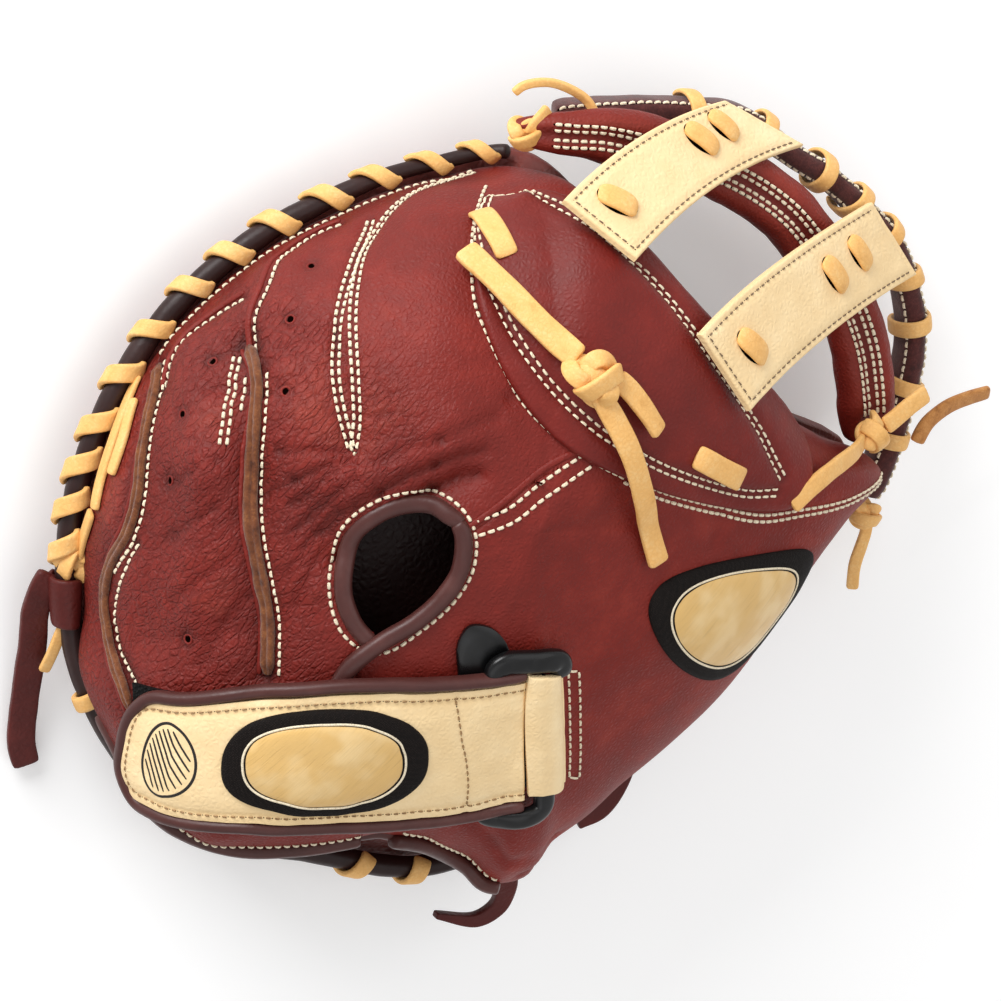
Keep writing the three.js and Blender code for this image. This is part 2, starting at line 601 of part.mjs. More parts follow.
// Patch and plate that lie between the strap and the back
add("hook_patch",
  sheetGrid(2, 4, (u, v, face) => strapSurface(0.03 + 0.3 * u, 0.6 * v - 0.07, face ? 1.5 : 0.6)), PLASTIC);
add("strap_buckle",
  clearOfBack(swept(frames(pathOver([[-31, -3], [-40, -18], [-50, -36], [-61, -52], [-73, -67]], 0.6), 8, awayFromBack),
    flatSection(12, 1.2))), PLASTIC);
const TAB_UPPER = [[-33.5, -21.5, 0], [-30, -27, 0], [-25, -34, 0]];
const TAB_LOWER = [[-64.3, -57.8, 0], [-59.8, -63.2, 0], [-54.8, -71, 0]];
const tabUpper = curveOf(TAB_UPPER);
const tabLower = curveOf(TAB_LOWER);
add("buckle_tab",
  sheetGrid(6, 3, (u, v, face) => {
    const p = tabUpper(u).lerp(tabLower(u), v);
    return overPlan(p.x, p.y, (face ? 6.7 : 3.8) - 2.6 * Math.max(0, u - 0.45));
  }), CREAM);

// Plain padded patches: an upright lozenge with rounded corners on the strap and one on the thumb
function patch(place, low, high, sides = 14) {
  const loop = (size, lift) =>
    Array.from({ length: sides }, (_, k) => {
      const a = (2 * Math.PI * k) / sides;
      const round = 1 / (Math.abs(Math.cos(a)) ** 2.4 + Math.abs(Math.sin(a)) ** 2.4) ** (1 / 2.4);
      return place(size * round * Math.cos(a), size * round * Math.sin(a), lift);
    });
  return lathed([loop(0.5, high), loop(0.86, high - 0.4), loop(1, low + 0.5), loop(1, low), loop(0.5, low)],
    place(0, 0, high), place(0, 0, low));
}
add("strap_patch", patch((x, y, lift) => strapSurface(0.53 + 0.21 * x, 0.5 + 0.33 * y, lift), STRAP_LIFT + 3.6, STRAP_LIFT + 5.4), EMBROIDERY);
add("thumb_patch", patch((x, y, lift) => onBack(286 + 15 * x, 0.475 + 0.18 * y, lift), 0.7, 2.6), EMBROIDERY);

// Raised raw-edge seams of the finger stalls, as bearing and share
const RING_SEAM = [[100, 0.75], [103.5, 0.66], [111.5, 0.59], [122.5, 0.54], [133.5, 0.485], [143.5, 0.44], [154, 0.405], [162, 0.405]];
const LITTLE_SEAM = [[113, 0.94], [117, 0.895], [125, 0.83], [132.5, 0.785], [138, 0.78], [143.5, 0.81], [152, 0.815], [157, 0.8], [162, 0.79]];
const onRows = (rows, lift) => rows.map(([b, s, up = lift]) => onBack(b, s, up));
add("ring_seam", clearOfBack(swept(frames(onRows(RING_SEAM, 0), 15, awayFromBack), flatSection(3.4, 4.6))), SUEDE);
add("little_seam", clearOfBack(swept(frames(onRows(LITTLE_SEAM, 0), 12, awayFromBack), flatSection(3, 2.8))), SUEDE);

// Binding along the wrist edge of both panels, just beyond the leather's end
const beyondEdge = (b, by) => {
  const edge = onBack(b, 1, -SHELL_WALL / 2);
  const way = edge.clone().sub(onBack(b, 0.97, -SHELL_WALL / 2)).normalize();
  return edge.addScaledVector(way, by);
};
const wristPath = (from, to, count) =>
  Array.from({ length: count + 1 }, (_, i) => beyondEdge(from + ((to - from) * i) / count, BINDING_HEIGHT / 2 + 2.2));
add("wrist_binding_finger",
  clearOfBack(swept(frames(wristPath(167, 201, 12), 16, skyward), roundSection(BINDING_HEIGHT, BINDING_HEIGHT, 6))), BINDING);
add("wrist_binding_thumb",
  clearOfBack(swept(frames(wristPath(204, 229, 10), 12, skyward), roundSection(BINDING_HEIGHT, BINDING_HEIGHT, 6))), BINDING);

// Free laces and knots
const lace = (name, points, steps, width = LACE_WIDTH, thick = LACE_THICK, material = LACE, up = skyward) =>
  add(name, swept(frames(points, steps, up), flatSection(width, thick)), material);
function knot(name, centre, size, material = LACE) {
  add(name, new THREE.SphereGeometry(1, 8, 6).scale(...size).rotateZ(0.6).translate(centre.x, centre.y, centre.z), material);
}
lace("crotch_lace", pathOver([[47.5, 72.5, 5.2], [47, 61, 7.2], [47.5, 50, 7.8], [48, 39.2, 8.6]], 0), 10, 8.4, 2.4, LACE, awayFromBack);
knot("crotch_knot", overPlan(46.3, 30.8, 13.2), [7.5, 7.2, 5]);
lace("crotch_tail_long", pathOver([[41.3, 21, 9.8], [36.5, 8, 8.8], [30, -8, 6], [24, -22, 2.2], [18.5, -34.5, 1.2]], 0), 10, 7.4, 2.2, LACE, awayFromBack);
lace("crotch_tail_short", pathOver([[49.8, 21, 10], [48.4, 12.5, 9.4], [46.4, 4, 8.8]], 0), 4, 7, 2.2, LACE, awayFromBack);
const at = (...row) => new THREE.Vector3(...row);
knot("web_knot_right", at(101, -88, 59.5), [5.6, 5, 4.6]);
lace("web_knot_tail_in", [onBack(307.5, 0.44, 1.6), onBack(309.5, 0.58, 1.8), onBack(311.5, 0.74, 3), at(93.5, -83.5, 60)], 8, 6, 2);
lace("web_knot_tail_out", [at(108, -90.5, 59), at(116, -92.5, 58), at(124, -93, 55)], 4, 6, 2);
knot("web_knot_top", at(95.5, 76.5, 44.5), [5, 4.6, 4.2]);
lace("web_tail_top", [at(98.5, 83.5, 44), at(101, 86, 42), at(107.5, 83.5, 40.5), at(113.5, 74, 40)], 8, 5, 2);
knot("web_knot_low", at(81.2, -125.6, 29.6), [4.6, 4.6, 4.2]);
lace("web_tail_low", [at(77.2, -130.6, 28.2), at(69.5, -138.5, 24), at(61, -145, 20)], 6, 5.5, 2);
lace("web_tail_outer", [at(117.5, -113, 29), at(126, -121, 28), at(141, -128, 30)], 6, 5.5, 2);
lace("heel_tail", [at(-123.5, 86.5, 19.5), at(-137, 68.5, 11), at(-154, 54.5, 6), at(-166, 44, 3.5), at(-171, 36.5, 2)], 8, 9.5, 3, DARK_MAROON);
lace("heel_tail_thin", [at(-132.5, 69, 19), at(-138, 64, 15), at(-144.5, 59, 13)], 4, 4, 1.8);
lace("thumb_heel_tie", [at(-52, -124, 13), at(-60, -132, 15), at(-67.5, -135, 18), at(-72, -128, 21), at(-66, -121, 24)], 8, 9, 3, DARK_MAROON);
lace("wrist_hook_tab", [at(-98, -115, 33), at(-105, -120, 30), at(-113, -118.5, 28), at(-121, -104, 29)], 8, 5.5, 3.4, DARK_MAROON);

export default mitt;
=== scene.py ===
"""A softball catcher mitt for the left hand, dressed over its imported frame.

Sizes are millimetres in the mitt's own plan, where X runs from the wrist to the web and Y to the
fingers. They turn into metres when a mesh is made.
"""

import logging
import math
from dataclasses import dataclass, field
from enum import Enum
from typing import Callable, Optional, Sequence, Union

import bmesh
import bpy
import numpy as np
from mathutils import Matrix, Vector
from mathutils.bvhtree import BVHTree

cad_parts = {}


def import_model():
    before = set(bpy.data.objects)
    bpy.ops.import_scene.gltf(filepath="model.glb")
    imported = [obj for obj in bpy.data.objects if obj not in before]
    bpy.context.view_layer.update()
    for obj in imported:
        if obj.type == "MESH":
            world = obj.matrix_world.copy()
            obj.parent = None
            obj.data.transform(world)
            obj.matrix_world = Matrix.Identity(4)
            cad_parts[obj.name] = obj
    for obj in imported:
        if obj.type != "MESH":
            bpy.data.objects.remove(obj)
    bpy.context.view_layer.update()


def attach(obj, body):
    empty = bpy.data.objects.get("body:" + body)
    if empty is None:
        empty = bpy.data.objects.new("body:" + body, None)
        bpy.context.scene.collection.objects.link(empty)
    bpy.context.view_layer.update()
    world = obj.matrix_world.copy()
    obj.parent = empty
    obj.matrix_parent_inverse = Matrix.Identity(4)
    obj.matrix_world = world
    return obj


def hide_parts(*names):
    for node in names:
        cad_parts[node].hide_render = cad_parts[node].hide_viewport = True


LOG = logging.getLogger("mitt")

# Driving sizes, as in the part's own source
PLAN_SHIFT = np.array([9.08, 14.61, 0.0])
CROWN = np.array([0.0, 10.0])
CROWN_HEIGHT = 112.0
PAD_CROWN = 84.0
POCKET_CROWN = 70.0
SHELL_WALL = 2.6
PALM_TUCK = 4.5
WELT_RADIUS = 4.0
WELT_STEP = 4.5
LACE_THICK = 2.0
WELT_FROM = 34.0
WELT_TO = 303.0

# Share of a knot's half size that its turns and its band reach
KNOT_FIT = 0.8
KNOT_BAND = 0.86

# How far above its surface a point starts, and how far it may drop
DROP_FROM = 14.0
DROP_REACH = 30.0

# The back round its crown:
# bearing, rim reach, rim height, edge reach, edge height, level share, drop, flank share, bulge
BACK_ROWS = [
    [0, 88, 72, 88, 74, 0.6, 4, 0.55, 0], [16, 91, 66, 91, 67, 0.62, 6, 0.6, 0],
    [27, 101, 46, 101, 47, 0.66, 12, 0.66, 1], [35, 97, 24, 97, 25, 0.68, 14, 0.66, 3],
    [48, 92, 21, 92, 22, 0.62, 12, 0.62, 5], [65, 91, 21, 91, 22, 0.58, 10, 0.62, 6],
    [85, 95, 21, 95, 22, 0.56, 10, 0.6, 6], [105, 103, 21, 103, 22, 0.56, 10, 0.58, 6],
    [125, 113, 21, 113, 22, 0.58, 11, 0.58, 5], [143, 124.5, 22, 124.5, 23, 0.62, 13, 0.58, 4],
    [153, 130, 22, 130, 24.5, 0.66, 14, 0.58, 3], [160, 134.5, 22, 141, 33, 0.68, 14, 0.58, 1],
    [168, 138.5, 22, 145, 44, 0.72, 14, 0.6, 0], [176, 142, 22, 149, 57, 0.74, 13, 0.55, -2],
    [182, 145, 22, 148, 66, 0.74, 12, 0.5, -4], [187, 146, 22, 141, 71, 0.7, 10, 0.45, -5],
    [192, 147, 22, 134, 74, 0.66, 8, 0.4, -6], [199, 145, 22, 125, 76, 0.66, 7, 0.4, -6],
    [206, 143, 22, 118, 77, 0.66, 6, 0.4, -6], [212, 144, 22, 119, 73.5, 0.68, 7, 0.4, -5],
    [217, 146, 22, 124, 68, 0.7, 8, 0.4, -4], [222, 147, 22, 131, 58, 0.71, 10, 0.5, -2],
    [227, 146, 22, 145, 47, 0.72, 12, 0.6, 0], [231, 143, 22, 147, 40, 0.7, 13, 0.6, 2],
    [236, 137, 22, 139, 27.5, 0.68, 14, 0.62, 8], [242, 131, 22, 132, 24, 0.66, 14, 0.62, 17],
    [250, 124, 22, 124, 23, 0.62, 14, 0.62, 24], [264, 117, 22, 117, 23, 0.6, 14, 0.62, 34],
    [280, 117, 22, 117, 23, 0.6, 14, 0.62, 34], [294, 123, 23, 123, 24, 0.62, 16, 0.6, 27],
    [303, 138, 27, 138, 28, 0.66, 20, 0.56, 16], [309, 149, 36, 149, 37, 0.7, 26, 0.55, 6],
    [315, 124, 50, 124, 51, 0.68, 20, 0.6, 2], [324, 103, 63, 103, 64, 0.64, 12, 0.6, 0],
    [342, 89, 71, 89, 73, 0.6, 5, 0.55, 0]]

# The padded palm: bearing, top of its rim, foot height, lip beyond the rim reach
PALM_ROWS = [
    [0, 64, 50, 1], [16, 55, 39, 1], [25, 40, 17, 2], [32, 22, 3, 4], [38, 18, 0, 4.5],
    [60, 17.5, 0, 2.5], [120, 17.5, 0, 2.5], [150, 18, 0, 3.5], [180, 18.5, 0, 6], [230, 18, 0, 7],
    [264, 15, 0, 7], [288, 15, 0, 7], [298, 17, 0, 7], [304, 20, 3, 6], [310, 27, 12, 3],
    [316, 42, 28, 1], [326, 55, 40, 1], [342, 62, 48, 1]]

# Soft forms of the back: bearing, share, bearing, share, half width, height
RELIEF_ROWS = [
    [50, 0.85, 78, 0.34, 15, 2.6], [88, 0.88, 118, 0.46, 11, 3], [108, 0.86, 124, 0.62, 10, 3.4],
    [124, 0.62, 152, 0.56, 11, 3.4], [66, 0.86, 107, 0.39, 5, -2], [101, 0.74, 122, 0.53, 6, -2.4],
    [122, 0.53, 163, 0.41, 6, -2.4], [96, 0.18, 140, 0.31, 7, -3.6], [80, 0.26, 118, 0.33, 8, 2.4],
    [262, 0.3, 296, 0.62, 16, 2.2]]

HOLE_LOOP = [
    [-48.6, 44.7], [-38.1, 50.2], [-25.2, 48.1], [-15.3, 39.5], [-14.2, 32.1], [-17.2, 25.6],
    [-24.2, 20.1], [-33.8, 17.6], [-46.5, 18.3], [-58.5, 21.6], [-60, 30], [-55.5, 38]]
PANEL_SEAM = [[-18, 27], [-11.6, 25], [9, 21.6], [27, 15.5], [60, 12], [110, 10]]
WRIST_SLIT = [[-57, 25], [-66, 23], [-74, 16], [-93, -2], [-106, -26], [-135, -62]]

Points = np.ndarray
Rows = Sequence[Sequence[float]]


def metres(points: Points) -> Points:
    """Moves plan points into the part's frame, in metres."""
    return (np.asarray(points, float) + PLAN_SHIFT) / 1000.0


def unit(vectors: Points) -> Points:
    """Scales vectors to length one."""
    return vectors / (np.linalg.norm(vectors, axis=-1, keepdims=True) + 1e-12)


def bezier(a: Points, b: Points, c: Points, d: Points, t: Points) -> Points:
    """A cubic curve from a to d with the handles b and c."""
    return (1 - t) ** 3 * a + 3 * (1 - t) ** 2 * t * b + 3 * (1 - t) * t**2 * c + t**3 * d


def hermite(t: Points, a: Points, slope_a: Points, b: Points, slope_b: Points,
        span: Points = 1.0) -> Points:
    """A cubic over a span from a to b, with a slope at each end."""
    return (
        (2 * t**3 - 3 * t**2 + 1) * a + (t**3 - 2 * t**2 + t) * span * slope_a
        + (-2 * t**3 + 3 * t**2) * b + (t**3 - t**2) * span * slope_b)


def circle(count: int) -> Points:
    """Angles of a full turn in even steps."""
    return 2 * np.pi * np.arange(count) / count


def upright(line: Points) -> Points:
    """The straight up direction at each point of a line."""
    return np.tile([0.0, 0, 1], (len(line), 1))


def lattice_noise(points: Points, size: float, seed: int = 0) -> Points:
    """Smooth noise over space, the same on every run.

    Args:
        points: Places in millimetres, one row each.
        size: Width of a feature in millimetres.
        seed: Picks another pattern.

    Returns:
        One value from -1 to 1 for each place.
    """
    q = points / size + 31.7 * seed
    cell = np.floor(q).astype(np.int64)
    f = q - cell
    f = f * f * (3 - 2 * f)
    total = np.zeros(len(points))
    for dx in (0, 1):
        for dy in (0, 1):
            for dz in (0, 1):
                h = (
                    (cell[:, 0] + dx) * 73856093 ^ (cell[:, 1] + dy) * 19349663
                    ^ (cell[:, 2] + dz) * 83492791)
                h = (h ^ (h >> 13)) * 1274126177 & 0xFFFFFFFF
                corner = ((h ^ (h >> 16)) & 0xFFFF) / 32767.5 - 1
                wx = f[:, 0] if dx else 1 - f[:, 0]
                wy = f[:, 1] if dy else 1 - f[:, 1]
                wz = f[:, 2] if dz else 1 - f[:, 2]
                total += corner * wx * wy * wz
    return total


def distance_to_line(points: Points, line: Points) -> Points:
    """Distance from each point to the nearest piece of a line of points."""
    best = np.full(len(points), 1e9)
    for a, b in zip(line[:-1], line[1:]):
        d = b - a
        t = np.clip(((points - a) @ d) / (d @ d + 1e-12), 0, 1)
        best = np.minimum(best, np.linalg.norm(points - a - t[:, None] * d, axis=1))
    return best


def inside(points: Points, loop: Points) -> np.ndarray:
    """Says which plan points lie inside a closed loop."""
    x, y = points[:, 0], points[:, 1]
    hit = np.zeros(len(points), bool)
    for (x0, y0), (x1, y1) in zip(loop, np.roll(loop, -1, axis=0)):
        if y0 == y1:
            continue
        crosses = (y0 > y) != (y1 > y)
        hit ^= crosses & (x < x0 + (y - y0) * (x1 - x0) / (y1 - y0))
    return hit


class RowTable:
    """Rows of sizes round the crown, read smoothly at any bearing."""

    def __init__(self, rows: Rows) -> None:
        """Works out a slope at each row that never overshoots its neighbours."""
        a = np.array(rows, float)
        at, value = a[:, 0], a[:, 1:]
        left = (value - np.roll(value, 1, 0)) / np.mod(at - np.roll(at, 1), 360)[:, None]
        right = np.roll(left, -1, 0)
        same = left * right > 0
        slope = np.where(same, 2 * left * right / np.where(same, left + right, 1), 0)
        self.at = np.append(at, at[0] + 360)
        self.value = np.vstack([value, value[:1]])
        self.slope = np.vstack([slope, slope[:1]])

    def __call__(self, bearing: Points) -> Points:
        """Reads every column at a bearing in degrees."""
        b = np.mod(np.asarray(bearing, float), 360)
        i = np.clip(np.searchsorted(self.at, b, side="right") - 1, 0, len(self.at) - 2)
        span = (self.at[i + 1] - self.at[i])[..., None]
        t = ((b - self.at[i])[..., None]) / span
        value, slope = self.value, self.slope
        return hermite(t, value[i], slope[i], value[i + 1], slope[i + 1], span)


@dataclass
class Curve:
    """A smooth curve through given points."""

    points: Rows
    closed: bool = False

    def at(self, share: Points) -> Points:
        """Points of the curve, where each span between two given points counts the same."""
        p = np.array(self.points, float)
        n = len(p)
        spans = n if self.closed else n - 1
        u = np.clip(np.atleast_1d(np.asarray(share, float)), 0, 1) * spans
        i = np.minimum(u.astype(int), spans - 1)
        w = (u - i)[:, None]
        if self.closed:
            c = p[[n - 1, *range(n), 0, 1]]
        else:
            c = np.vstack([2 * p[0] - p[1], p, 2 * p[-1] - p[-2]])
        p0, p1, p2, p3 = c[i], c[i + 1], c[i + 2], c[i + 3]
        s0, s1, s2 = (
            np.sqrt(np.linalg.norm(b - a, axis=1, keepdims=True)) + 1e-6
            for a, b in ((p0, p1), (p1, p2), (p2, p3)))
        m1 = ((p1 - p0) / s0 - (p2 - p0) / (s0 + s1) + (p2 - p1) / s1) * s1
        m2 = ((p2 - p1) / s1 - (p3 - p1) / (s1 + s2) + (p3 - p2) / s2) * s1
        return hermite(w, p1, m1, p2, m2)

    def dense(self, per_span: int = 14) -> Points:
        """The curve as many points, with its own points among them."""
        spans = len(self.points) if self.closed else len(self.points) - 1
        return self.at(np.linspace(0, 1, per_span * spans + 1))

    def even(self, step: float) -> Points:
        """Points at even steps along the curve."""
        return evenly(self.dense(), step)


def evenly(line: Points, step: float) -> Points:
    """Points at even steps along a line, both ends included."""
    run = np.append(0, np.cumsum(np.linalg.norm(np.diff(line, axis=0), axis=1)))
    at = np.linspace(0, run[-1], max(2, round(run[-1] / step)) + 1)
    return np.stack([np.interp(at, run, line[:, k]) for k in range(line.shape[1])], 1)


class Back:
    """The domed back of the mitt as a surface."""

    def __init__(self) -> None:
        """Reads the rows and places the soft forms."""
        self.rows = RowTable(BACK_ROWS)
        self.palm = RowTable(PALM_ROWS)
        self.ridges = [
            (self.smooth(b0, s0), self.smooth(b1, s1), width, height)
            for b0, s0, b1, s1, width, height in RELIEF_ROWS
        ]

    @staticmethod
    def on_bearing(bearing: Points, reach: Points, height: Points) -> Points:
        """A point at a bearing, a distance from the crown's axis and a height."""
        a = np.radians(bearing)
        x = CROWN[0] + reach * np.cos(a)
        y = CROWN[1] + reach * np.sin(a)
        return np.stack(np.broadcast_arrays(x, y, np.asarray(height, float)), -1)

    def smooth(self, bearing: Points, share: Points) -> Points:
        """The back before its soft forms. Share 0 is the crown and 1 the edge."""
        b, s = np.broadcast_arrays(np.asarray(bearing, float), np.asarray(share, float))
        q = self.rows(b)
        reach, edge, level, drop, flank, bulge = (q[..., k] for k in range(2, 8))
        return self.on_bearing(
            b,
            bezier(0, level * reach, reach + bulge, reach, s),
            bezier(CROWN_HEIGHT, CROWN_HEIGHT - drop, edge + flank * (CROWN_HEIGHT - edge), edge, s),
        )

    def normal(self, bearing: Points, share: Points) -> Points:
        """The outward direction of the back."""
        b, s = np.broadcast_arrays(np.asarray(bearing, float), np.asarray(share, float))
        q = np.minimum(s, 0.995)
        along = self.smooth(b, q + 0.004) - self.smooth(b, q - 0.004)
        across = self.smooth(b + 0.6, q) - self.smooth(b - 0.6, q)
        up = np.zeros(b.shape + (3,))
        up[..., 2] = 1
        return np.where((s < 0.01)[..., None], up, unit(np.cross(along, across)))

    def relief(self, points: Points, share: Points) -> Points:
        """Height of the soft forms at points of the smooth back."""
        fade = np.where(share > 0.9, np.maximum(0, (1 - share) / 0.1), 1.0)
        total = np.zeros(points.shape[:-1])
        for a, b, width, height in self.ridges:
            d = b - a
            t = np.clip(((points - a) @ d) / (d @ d), 0, 1)[..., None]
            total += height * np.exp(-((np.linalg.norm(points - a - t * d, axis=-1) / width) ** 2))
        return fade * total

    def at(self, bearing: Points, share: Points, lift: Points = 0.0) -> Points:
        """A point of the back, raised along its outward direction."""
        base = self.smooth(bearing, share)
        s = np.broadcast_to(np.asarray(share, float), base.shape[:-1])
        return base + self.normal(bearing, share) * (self.relief(base, s) + lift)[..., None]

    def polar(self, plan: Points) -> tuple[Points, Points]:
        """The bearing and share under plan points."""
        d = np.atleast_2d(np.asarray(plan, float))[:, :2] - CROWN
        bearing = np.degrees(np.arctan2(d[:, 1], d[:, 0]))
        want = np.linalg.norm(d, axis=1)
        q = self.rows(bearing)
        reach, level, bulge = q[:, 2], q[:, 4], q[:, 7]
        steps = np.linspace(0, 1, 51)[:, None]
        far = bezier(0, level * reach, reach + bulge, reach, steps)
        first = np.argmax(far >= want, axis=0)
        high = np.where((far >= want).any(0), steps[first, 0], 1.0)
        low = np.zeros(len(d))
        for _ in range(24):
            mid = (low + high) / 2
            short = bezier(0, level * reach, reach + bulge, reach, mid) < want
            low = np.where(short, mid, low)
            high = np.where(short, high, mid)
        return bearing, (low + high) / 2

    def over(self, plan: Points, lift: Points = 0.0) -> Points:
        """Points of the back over plan points."""
        bearing, share = self.polar(plan)
        return self.at(bearing, share, lift)

    def away(self, points: Points) -> Points:
        """The back's outward direction near points."""
        return self.normal(*self.polar(points))

    def welt(self, bearing: Points) -> Points:
        """The middle line of the rolled welt."""
        q = self.rows(bearing)
        return self.on_bearing(bearing, q[..., 0] + WELT_STEP, q[..., 1] - 0.1 * np.maximum(0, q[..., 7]))


BACK = Back()


@dataclass
class Mesh:
    """Points in millimetres and faces, built up piece by piece."""

    points: Points = field(default_factory=lambda: np.zeros((0, 3)))
    faces: list[list[int]] = field(default_factory=list)

    def add(self, points: Points, faces: Sequence[Sequence[int]]) -> "Mesh":
        """Adds more points and faces to the mesh."""
        start = len(self.points)
        self.points = np.vstack([self.points, points])
        self.faces.extend([start + i for i in face] for face in faces)
        return self

    def join(self, other: "Mesh") -> "Mesh":
        """Adds another mesh to this one."""
        return self.add(other.points, other.faces)

    def skin(self) -> "Skin":
        """The mesh as something that stitches and laces can lie on."""
        return Skin(self)


class Skin:
    """A surface that other pieces are laid on."""

    def __init__(self, mesh: Mesh) -> None:
        """Builds the search tree."""
        self.tree = BVHTree.FromPolygons([tuple(p) for p in mesh.points], mesh.faces)

    def lay(self, points: Points, toward: Points) -> tuple[Points, Points]:
        """Drops points on the surface.

        Args:
            points: Places near the surface.
            toward: Outward direction at each place.

        Returns:
            The places on the surface, and the outward direction at each.
        """
        found, ups = [], []
        for p, out in zip(points, toward):
            n = Vector(out)
            place, normal, _, _ = self.tree.ray_cast(Vector(p) + DROP_FROM * n, -n, DROP_REACH)
            if place is None:
                place, normal, _, _ = self.tree.find_nearest(Vector(p))
            found.append(place[:])
            ups.append(normal[:])
        ups = np.array(ups)
        return np.array(found), ups * np.where((ups * toward).sum(1) < 0, -1, 1)[:, None]


def grid_faces(rows: int, columns: int, start: int = 0, flip: bool = False,
        wrap: bool = False) -> list[list[int]]:
    """Faces of a grid of points, row after row."""
    faces = []
    for i in range(rows - 1):
        for j in range(columns if wrap else columns - 1):
            k = (j + 1) % columns
            quad = [start + i * columns + j, start + i * columns + k, start + (i + 1) * columns + k,
                start + (i + 1) * columns + j]
            faces.append(quad[::-1] if flip else quad)
    return faces


def ball_faces(rows: int, columns: int) -> list[list[int]]:
    """Faces of rings of points between a first and a last point."""
    last, start = 1 + rows * columns, 1 + (rows - 1) * columns
    faces = [[0, 1 + k, 1 + (k + 1) % columns] for k in range(columns)]
    faces += grid_faces(rows, columns, 1, wrap=True, flip=True)
    return faces + [[last, start + (k + 1) % columns, start + k] for k in range(columns)]


def tube(line: Points, ups: Points, section: Points, closed: bool = False) -> Mesh:
    """A section swept along a line.

    Args:
        line: The points that it follows.
        ups: The upward direction at each point.
        section: Side and up sizes of the section, one set or one for each point.
        closed: Joins the end to the start.

    Returns:
        The closed mesh.
    """
    if closed:
        along = np.roll(line, -1, 0) - np.roll(line, 1, 0)
    else:
        along = np.gradient(line, axis=0)
    along = unit(along)
    up = unit(ups - (ups * along).sum(1)[:, None] * along)
    side = unit(np.cross(along, up))
    section = np.broadcast_to(section, (len(line),) + section.shape[-2:])
    rings = line[:, None] + section[..., :1] * side[:, None] + section[..., 1:] * up[:, None]
    n, m = len(line), section.shape[1]
    points = rings.reshape(-1, 3)
    faces = grid_faces(n, m, wrap=True, flip=True)
    if closed:
        faces += [[(n - 1) * m + j, (n - 1) * m + (j + 1) % m, (j + 1) % m, j][::-1] for j in range(m)]
    else:
        faces.append(list(range(m)))
        faces.append([(n - 1) * m + j for j in range(m)][::-1])
    return Mesh(points, faces)


def oval(width: float, height: float, sides: int = 20, power: float = 2.0, rise: float = 0.0) -> Points:
    """A rounded section, its squareness set by power."""
    a = circle(sides)
    c, s = np.cos(a), np.sin(a)
    x = np.sign(c) * np.abs(c) ** (2 / power) * width / 2
    y = np.sign(s) * np.abs(s) ** (2 / power) * height / 2 + rise
    return np.stack([x, y], 1)


def strip(width: float, thick: float) -> Points:
    """The section of a cut lace, flat below, with softly worn edges."""
    w, h = width / 2, thick
    return np.array([
        [-w + 0.3, 0], [-0.33 * w, -0.04], [0.33 * w, -0.04], [w - 0.3, 0], [w, 0.3], [w, h - 0.45],
        [w - 0.45, h],
        [0.4 * w, h + 0.08], [-0.4 * w, h + 0.08], [-w + 0.45, h], [-w, h - 0.45], [-w, 0.3],
    ])


def tapered(section: Points, count: int, start: float = 1.0, end: float = 1.0, reach: int = 4) -> Points:
    """One section for each step, closed in over the first and last steps."""
    scale = np.ones(count)
    for k in range(min(reach, count // 2)):
        bend = math.sqrt(1 - (1 - (k + 0.5) / reach) ** 2)
        scale[k] = start + (1 - start) * bend
        scale[-1 - k] = end + (1 - end) * bend
    return section[None] * scale[:, None, None]


def slab(top: Points, bottom: Points) -> Mesh:
    """A closed body between two grids of points of the same shape."""
    rows, columns = top.shape[:2]
    size = rows * columns
    points = np.vstack([top.reshape(-1, 3), bottom.reshape(-1, 3)])
    faces = grid_faces(rows, columns) + grid_faces(rows, columns, size, flip=True)
    border = [(i, 0) for i in range(rows - 1)]
    border += [(rows - 1, j) for j in range(columns - 1)]
    border += [(i, columns - 1) for i in range(rows - 1, 0, -1)]
    border += [(0, j) for j in range(columns - 1, 0, -1)]
    at = [i * columns + j for i, j in border]
    for a, b in zip(at, at[1:] + at[:1]):
        faces.append([a, b, size + b, size + a])
    return Mesh(points, faces)


def clustered(count: int) -> Points:
    """Shares from 0 to 1, closer together at both ends."""
    return 0.5 - 0.5 * np.cos(np.pi * np.linspace(0, 1, count))


def edge_round(distance: Points, radius: float) -> Points:
    """Share of its thickness that a rounded edge has at a distance from the edge."""
    t = np.clip(distance / radius, 0, 1)
    return np.sqrt(np.maximum(0.0, 1 - (1 - t) ** 2))


class Slot(Enum):
    """The record's material slots."""

    MAROON = "maroon_leather"
    PAD = "pad_leather"
    PALM = "palm_leather"
    CREAM = "cream_leather"
    BINDING = "brown_binding"
    SUEDE = "raw_edge_suede"
    LACE = "tan_lace"
    PLASTIC = "black_plastic"
    HOOK = "hook_pile"
    PATCH = "gold_patch"


Input = Union[float, int, bool, tuple, "Wire"]


